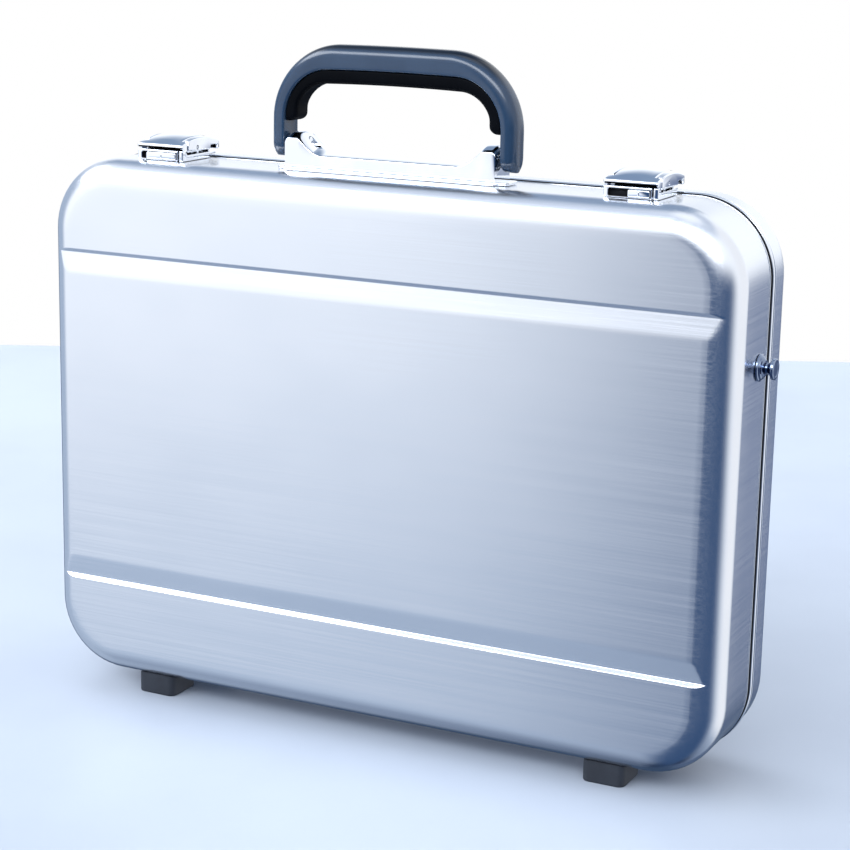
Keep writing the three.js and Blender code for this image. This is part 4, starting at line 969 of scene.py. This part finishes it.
def latch_case(side):
    """The casing: a front bar round the button's window, a corner post, a floor, low sides and two lugs."""
    x = side * LATCH_X
    bottom, top = CASE_TOP + GAP, CASE_TOP + CASING_TOP
    front, bar_rear, inside = map(at_depth, (LATCH_FRONT, LATCH_FRONT + BAR_THICK, CASING_REAR))
    left, right, sill, lintel = WINDOW
    outer = rectangle(x - LATCH_HALF, x + SLOT[0], bottom, top, 0.5, 6)
    window = rectangle(x + left, x + right, CASE_TOP + sill, CASE_TOP + lintel, 0.7, 6)
    bevel = 0.25
    rings = [[(u, bar_rear, v) for u, v in outer]]
    for shrink, drop in reversed(rounding(0.7, 4)):
        rings.append([(u, front + drop, v) for u, v in inset(outer, shrink)])
    rings.append([(u, front, v) for u, v in inset(window, -bevel)])
    rings.append([(u, front + bevel, v) for u, v in window])
    points, faces = loft(rings)
    shape = Shape().add((points, faces[:-1]))
    # The window's inner walls take the near-black material: partly the black backing that the real latch has
    # behind its button, partly painted shade down inside the window.
    points, faces = loft([[(u, front + depth, v) for u, v in window] for depth in (bevel, 3.2)])
    shape.add((points, faces[:-2] + faces[-1:]), kind=1)
    post = rectangle(x + SLOT[1], x + LATCH_HALF, bottom, top, 0.6, 6)
    shape.add(slab("y", post, front, bar_rear, 0.5))
    # A near-black block under the lever's lip: painted shade that fills the recess between the lip and the
    # casing.
    shade_block = rectangle(at_depth(LATCH_FRONT + 3), at_depth(33), CASE_TOP + 1.2, CASE_TOP + 7.4, 0.8)
    shape.add(slab("x", shade_block, x - 11, x + 13.9, 0.3), kind=1)
    base = rectangle(x - LATCH_HALF + 0.3, x + LATCH_HALF - 0.3, bar_rear - 0.6, inside - 0.1, 0.8)
    shape.add(slab("z", base, bottom, bottom + 1.2, 0.2))
    wall_front, wall_top = bar_rear - 0.8, CASE_TOP + 4
    wall = [(wall_front, bottom, 0), (inside, bottom, 0.3), (inside, wall_top, 1.5)]
    wall += [(bar_rear + 1.2, wall_top, 1.2), (wall_front, top - 0.2, 0)]
    y, z = LEVER_AXIS
    lug = [(y - 3.8, CASE_TOP + 1, 0), (y - 0.4, CASE_TOP + 1, 0), (y - 0.4, z, 0), (y - 3.8, z - 2.5, 1)]
    for hand in SIDES.values():
        shape.add(slab("x", fillet(wall), *mirrored(hand, LATCH_HALF - 1.6, LATCH_HALF, x), 0.35))
        low, high = mirrored(hand, 8.6, 10.6, x)
        shape.add(slab("x", fillet(lug), low, high, 0.2))
        shape.add(boss(2.1, low, high, LEVER_AXIS))
    return shape


def latch_button(side, span):
    """The sliding button: a rounded bar with an upright rib to push against."""
    left, right = (side * LATCH_X + dx for dx in span)
    bottom, top = CASE_TOP + WINDOW[2] + GAP, CASE_TOP + WINDOW[3] - GAP
    outline = rectangle(left, right, bottom, top, 1.0)
    shape = Shape().add(slab("y", outline, at_depth(LATCH_FRONT - 0.7), at_depth(LATCH_FRONT + 2.9), 0.45))
    middle = (left + right) / 2
    rib = rectangle(middle - 0.45, middle + 0.45, bottom + 0.7, top - 0.7, 0.4)
    return shape.add(slab("y", rib, at_depth(LATCH_FRONT - 1.0), at_depth(LATCH_FRONT + 0.2), 0.25))


def plain_pin(radius, low, high, edge, centre):
    """A plain pin along X with rounded ends."""
    return turned("x", rounded_profile([(radius, low, edge), (radius, high, edge)]), centre, segments=32)


def lever_spring(side):
    """The lever's spring: close turns of round wire about the lever pin."""
    turns, per_turn, radius, wire, half, sides = 9, 20, 1.72, 0.34, 5.6, 8
    rings = []
    for step in range(turns * per_turn + 1):
        angle = 2 * pi * step / per_turn
        dx = half * (2 * step / (turns * per_turn) - 1)
        ring = []
        for k in range(sides):
            about = 2 * pi * k / sides
            out = radius + wire * cos(about)
            depth, height = LEVER_DEPTH + out * cos(angle), LEVER_HEIGHT + out * sin(angle)
            ring.append(latch_point(side, dx + wire * sin(about), depth, height))
        rings.append(ring)
    return loft(rings)


def latch_strike(side):
    """The strike on the lid: a plate with a rounded rib along its front."""
    x = side * LATCH_X
    front, rib_rear, rear = map(at_depth, (57.5, 59.4, 66.2))
    base, plate_top, rib_top = CASE_TOP + 1.2, CASE_TOP + 2.6, CASE_TOP + 4.5
    corners = [(front, base, 0.2), (rear, base, 0.2), (rear, plate_top, 0.6), (rib_rear, plate_top, 0.5)]
    corners += [(rib_rear, rib_top, 0.6), (front, rib_top, 0.6)]
    return slab("x", fillet(corners), x - 11, x + 11, 0.35)


for name, hand in SIDES.items():
    x = hand * LATCH_X
    piece(f"latch_case_{name}", latch_case(hand), CHROME, extra=(SHADOW,))
    piece(f"latch_lever_{name}", latch_lever(hand), CHROME, sharp=40)
    hook_hole = rod("x", 1.4, x - 20, x + 20, HOOK_AXIS)
    piece(f"latch_hook_{name}", latch_hook(hand), CHROME, sharp=40, cutters=[hook_hole])
    piece(f"latch_button_{name}", latch_button(hand, BUTTONS[name]), CHROME)
    piece(f"latch_strike_{name}", latch_strike(hand), CHROME)
    piece(f"latch_lever_spring_{name}", lever_spring(hand), STEEL)
    lever_pin = plain_pin(1.2, x - LEVER_HALF + 0.2, x + LEVER_HALF - 0.2, 0.35, LEVER_AXIS)
    hook_pin = plain_pin(1.1, x - LATCH_HALF + 0.2, x + LATCH_HALF - 0.2, 0.35, HOOK_AXIS)
    piece(f"latch_lever_pin_{name}", lever_pin, STEEL)
    piece(f"latch_hook_pin_{name}", hook_pin, STEEL)

# ---------- Strap studs ----------

COLLAR = [(2.2, GAP, 0), (8.0, GAP, 0.2), (8.0, 1.2, 0.5), (7.1, 1.7, 0.3), (6.6, 2.6, 0.5), (5.6, 3.1, 0.4)]
COLLAR += [(4.6, 4.0, 0.5), (2.2, 4.0, 0.3)]
INNER_FACE = -SHEET - GAP
STUD = [(3.0, INNER_FACE - 1.2, 0.3), (3.0, INNER_FACE, 0), (1.9, INNER_FACE, 0), (1.9, 4.3, 0)]
STUD += [(3.4, 4.3, 0.3), (3.0, 5.6, 0.8), (5.0, 7.4, 0.6), (6.2, 8.2, 0.35), (6.2, 9.7, 0.35)]
STUD += [(5.5, 10.2, 0.3), (4.4, 10.2, 0.2), (4.2, 9.9, 0.2)]
# The studs and their collars take the chrome with the painted dark reflection.
for name, hand in SIDES.items():
    studs = (("stud_collar", fillet(COLLAR), True), ("strap_stud", rounded_profile(STUD), False))
    for node, outline, ring in studs:
        profile = [(radius, hand * (HALF_WIDTH + along)) for radius, along in outline]
        body = turned("x", profile, (at_depth(STUD_DEPTH), STUD_Z), closed=ring, segments=64)
        piece(f"{node}_{name}", body, CHROME_PAINTED_DARK)

# ---------- Hinge ----------

HINGE_HALF, KNUCKLE, LEAF, LEAF_WIDTH, KNUCKLES = 120, 2.4, 1.2, 16, 5
HINGE_AXIS, HINGE_TOP = (HINGE_Y, HINGE_Z), HINGE_Z + KNUCKLE
for half, sign, first in (("base", -1, 0), ("lid", 1, 1)):
    pitch = 2 * HINGE_HALF / KNUCKLES
    leaf = rectangle(-HINGE_HALF, HINGE_HALF, *mirrored(sign, KNUCKLE + 0.5, LEAF_WIDTH, HINGE_Y), 1.5)
    shape = Shape().add(slab("z", leaf, HINGE_TOP - LEAF, HINGE_TOP, 0.25))
    for i in range(first, KNUCKLES, 2):
        start = -HINGE_HALF + i * pitch + (0.2 if i else 0)
        end = -HINGE_HALF + (i + 1) * pitch - (0.2 if i < KNUCKLES - 1 else 0)
        strap = rectangle(start, end, *mirrored(sign, 0, KNUCKLE + 1, HINGE_Y), 0.1, 1)
        shape.add(slab("z", strap, HINGE_TOP - LEAF, HINGE_TOP, 0.15))
        tube = fillet([(1.5, start, 0), (1.5, end, 0), (KNUCKLE, end, 0.3), (KNUCKLE, start, 0.3)])
        shape.add(turned("x", tube, HINGE_AXIS, closed=True, segments=40))
    piece(f"hinge_leaf_{half}", shape, STEEL)
piece("hinge_pin", plain_pin(1.2, -HINGE_HALF, HINGE_HALF, 0.4, HINGE_AXIS), STEEL)

# ---------- Lid stays ----------

STAY_LINK, STAY_SHIFT = 80, 5
STAY_RISE = sqrt(STAY_LINK**2 - STAY_SHIFT**2)
STAY_BASE = (HINGE_Y - STAY_SHIFT, HINGE_Z + STAY_RISE)
STAY_LID = (HINGE_Y + STAY_SHIFT, HINGE_Z + STAY_RISE)
STAY_KNEE = (HINGE_Y, HINGE_Z + 2 * STAY_RISE)
WEB_FACE = HALF_WIDTH + WEB_INNER
LOWER_LINK = (WEB_FACE - 2.5, WEB_FACE - 0.7)
UPPER_LINK = (LOWER_LINK[0] - 2.5, LOWER_LINK[0] - 0.7)


def round_ended(start, end, radius):
    """A flat outline with parallel sides and a half round about each end."""
    heading = atan2(end[1] - start[1], end[0] - start[0])
    steps = 12
    outline = []
    for (y, z), turn in ((end, -pi / 2), (start, pi / 2)):
        for step in range(steps + 1):
            angle = heading + turn + step / steps * pi
            outline.append((y + radius * cos(angle), z + radius * sin(angle)))
    return outline


def stay_link(node, side, start, end, span):
    """A flat link with round ends, a shallow pressed channel along it, and two rivet holes."""
    low, high = mirrored(side, *span)
    holes = [rod("x", 1.9, low - 1, high + 1, centre) for centre in (start, end)]
    inside = [[a + (b - a) * share for a, b in zip(start, end)] for share in (0.14, 0.86)]
    holes.append(slab("x", round_ended(*inside, 1.5), *mirrored(side, -1, 0.45, span[0] * side), 0))
    piece(node, slab("x", round_ended(start, end, 3.6), low, high, 0.3), STEEL, cutters=holes)


def stay_rivet(node, side, centre, inner_face, outer_end):
    top = inner_face - GAP
    profile = rounded_profile([(2.8, top - 1.4, 0.9), (2.8, top, 0.1), (1.6, top, 0), (1.6, outer_end, 0.3)])
    profile = [(radius, side * along) for radius, along in profile]
    piece(node, turned("x", profile, centre, segments=32), STEEL)


for name, hand in SIDES.items():
    stay_link(f"stay_lower_link_{name}", hand, STAY_BASE, STAY_KNEE, LOWER_LINK)
    stay_link(f"stay_upper_link_{name}", hand, STAY_KNEE, STAY_LID, UPPER_LINK)
    stay_rivet(f"stay_base_rivet_{name}", hand, STAY_BASE, LOWER_LINK[0], WEB_FACE - GAP)
    stay_rivet(f"stay_lid_rivet_{name}", hand, STAY_LID, UPPER_LINK[0], WEB_FACE - GAP)
    stay_rivet(f"stay_knee_rivet_{name}", hand, STAY_KNEE, UPPER_LINK[0], LOWER_LINK[1])

# ---------- Camera ----------

CAMERA_PLACE = Vector((0.59313, -1.18082, 0.50664))
PITCH, YAW, ROLL = (radians(degrees) for degrees in (13.363, 26.013, 1.184))
forward = Vector((-sin(YAW) * cos(PITCH), cos(YAW) * cos(PITCH), -sin(PITCH)))
level = Vector((cos(YAW), sin(YAW), 0))
upward = level.cross(forward)
right = cos(ROLL) * level + sin(ROLL) * upward
upright = -sin(ROLL) * level + cos(ROLL) * upward
camera_data = bpy.data.cameras.new("camera")
camera_data.lens = 93.1
camera_data.sensor_width = 36
camera = linked("camera", camera_data)
turn = Matrix((right, upright, -forward)).transposed().to_4x4()
camera.matrix_world = Matrix.Translation(CAMERA_PLACE) @ turn
bpy.context.scene.camera = camera
bpy.context.scene.view_settings.view_transform = "Standard"

# ---------- Studio ----------

# Each zone of the studio wall: (low edge, its blur, high edge, its blur) in degrees of azimuth and
# of elevation, and its brightness. Azimuth 0 is in front of the case and 90 at its right.
ZONES = [
    ((-132, 8, -70, 10), (-60, 12, 24, 8), (0.42, 0.51, 0.66)),
    ((-185, 20, -108, 22), (28, 12, 76, 5), (0.24, 0.33, 0.48)),
    ((-185, 20, -122, 14), (-95, 1, -6, 6), (0.04, 0.07, 0.13)),
    ((153, 6, 190, 5), (-95, 1, -3, 7), (0.17, 0.22, 0.35)),
    ((153, 6, 190, 5), (-95, 1, -20, 5), (0.08, 0.12, 0.21)),
    ((-20, 6, 80, 26), (-95, 1, 12, 12), (0.04, 0.085, 0.19)),
    ((92, 24, 150, 11), (-40, 9, 55, 9), (0.98, 1.0, 1.04)),
]
SOFTBOX = ((-92, 14, 40, 20), (27, 4, 45, 5), (8.0, 8.4, 9.0))
WALL = (1.12, 1.16, 1.22)


def studio_world():
    """The studio all round the case, as brightness by direction: white walls, boxes of light, a dark side."""
    world = bpy.data.worlds.new("studio")
    world.use_nodes = True
    bpy.context.scene.world = world
    nodes = Nodes(world.node_tree)
    direction = nodes.make("ShaderNodeTexCoord").outputs["Generated"]
    parts = nodes.make("ShaderNodeSeparateXYZ", {0: direction}).outputs
    degrees = 180 / pi
    round_about = nodes.math("ARCTAN2", parts[0], nodes.math("MULTIPLY", parts[1], -1.0))
    azimuth = nodes.math("MULTIPLY", round_about, degrees)
    elevation = nodes.math("MULTIPLY", nodes.math("ARCSINE", parts[2]), degrees)

    def rise(value, middle, blur):
        """0 before a soft step and 1 after it."""
        return nodes.ramp(value, middle - blur, middle + blur)

    def window(value, low, low_blur, high, high_blur):
        after = nodes.math("SUBTRACT", 1.0, rise(value, high, high_blur))
        return nodes.math("MULTIPLY", rise(value, low, low_blur), after)

    def lit(colour, azimuths, elevations, tint):
        area = nodes.math("MULTIPLY", window(azimuth, *azimuths), window(elevation, *elevations))
        return nodes.mix(area, colour, tint)

    colour = nodes.mix(rise(elevation, -50, 25), (0.15, 0.2, 0.3), (0.47, 0.57, 0.73))
    colour = nodes.mix(rise(elevation, -13.5, 5), colour, WALL)
    colour = nodes.mix(rise(elevation, 54, 8), colour, (0.6, 0.68, 0.82))
    colour = nodes.mix(rise(elevation, 74, 6), colour, WALL)
    colour = lit(colour, *SOFTBOX)
    colour = nodes.mix(rise(elevation, -72, 8), (0.015, 0.03, 0.07), colour)
    for zone in ZONES:
        colour = lit(colour, *zone)
    seen = nodes.make("ShaderNodeLightPath").outputs["Is Camera Ray"]
    nodes.feed(world.node_tree.nodes["Background"].inputs["Color"], nodes.mix(seen, colour, (1, 1, 1)))


def key_light():
    """A soft lamp above and behind, for the shadow on the floor. It isn't mirrored in the metal."""
    data = bpy.data.lights.new("key", "AREA")
    data.shape = "RECTANGLE"
    data.size, data.size_y = 1.6, 1.2
    data.energy = 30
    data.color = (0.95, 0.98, 1.0)
    lamp = linked("key", data)
    lamp.location = (-1.2, 1.0, 2.2)
    aim = Vector((0, 0, 0.1)) - lamp.location
    lamp.rotation_euler = aim.to_track_quat("-Z", "Y").to_euler()
    lamp.visible_glossy = False
    lamp.visible_camera = False


def floor():
    """A plain pale floor that ends behind the case, square to the view."""
    made, nodes = material("floor", roughness=0.45, specular_ior_level=0.4)
    cloud = nodes.ramp(nodes.noise((3, 3, 3), 4.0), 0.3, 0.7)
    nodes.paint(base_color=nodes.mix(cloud, (0.36, 0.4, 0.47), (0.4, 0.445, 0.515)))
    ahead = Vector((-sin(YAW), cos(YAW), 0))
    start = Vector((CAMERA_PLACE.x, CAMERA_PLACE.y, 0))
    near, far, wide = -3.0, 2.49, 4.0
    corners = []
    for along, across in ((near, -wide), (near, wide), (far, wide), (far, -wide)):
        corners.append(tuple(start + ahead * along + level * across))
    mesh = bpy.data.meshes.new("floor")
    mesh.from_pydata(corners, [], [[0, 1, 2, 3]])
    mesh.materials.append(made)
    plane = linked("floor", mesh)
    plane.visible_glossy = False


studio_world()
floor()
key_light()
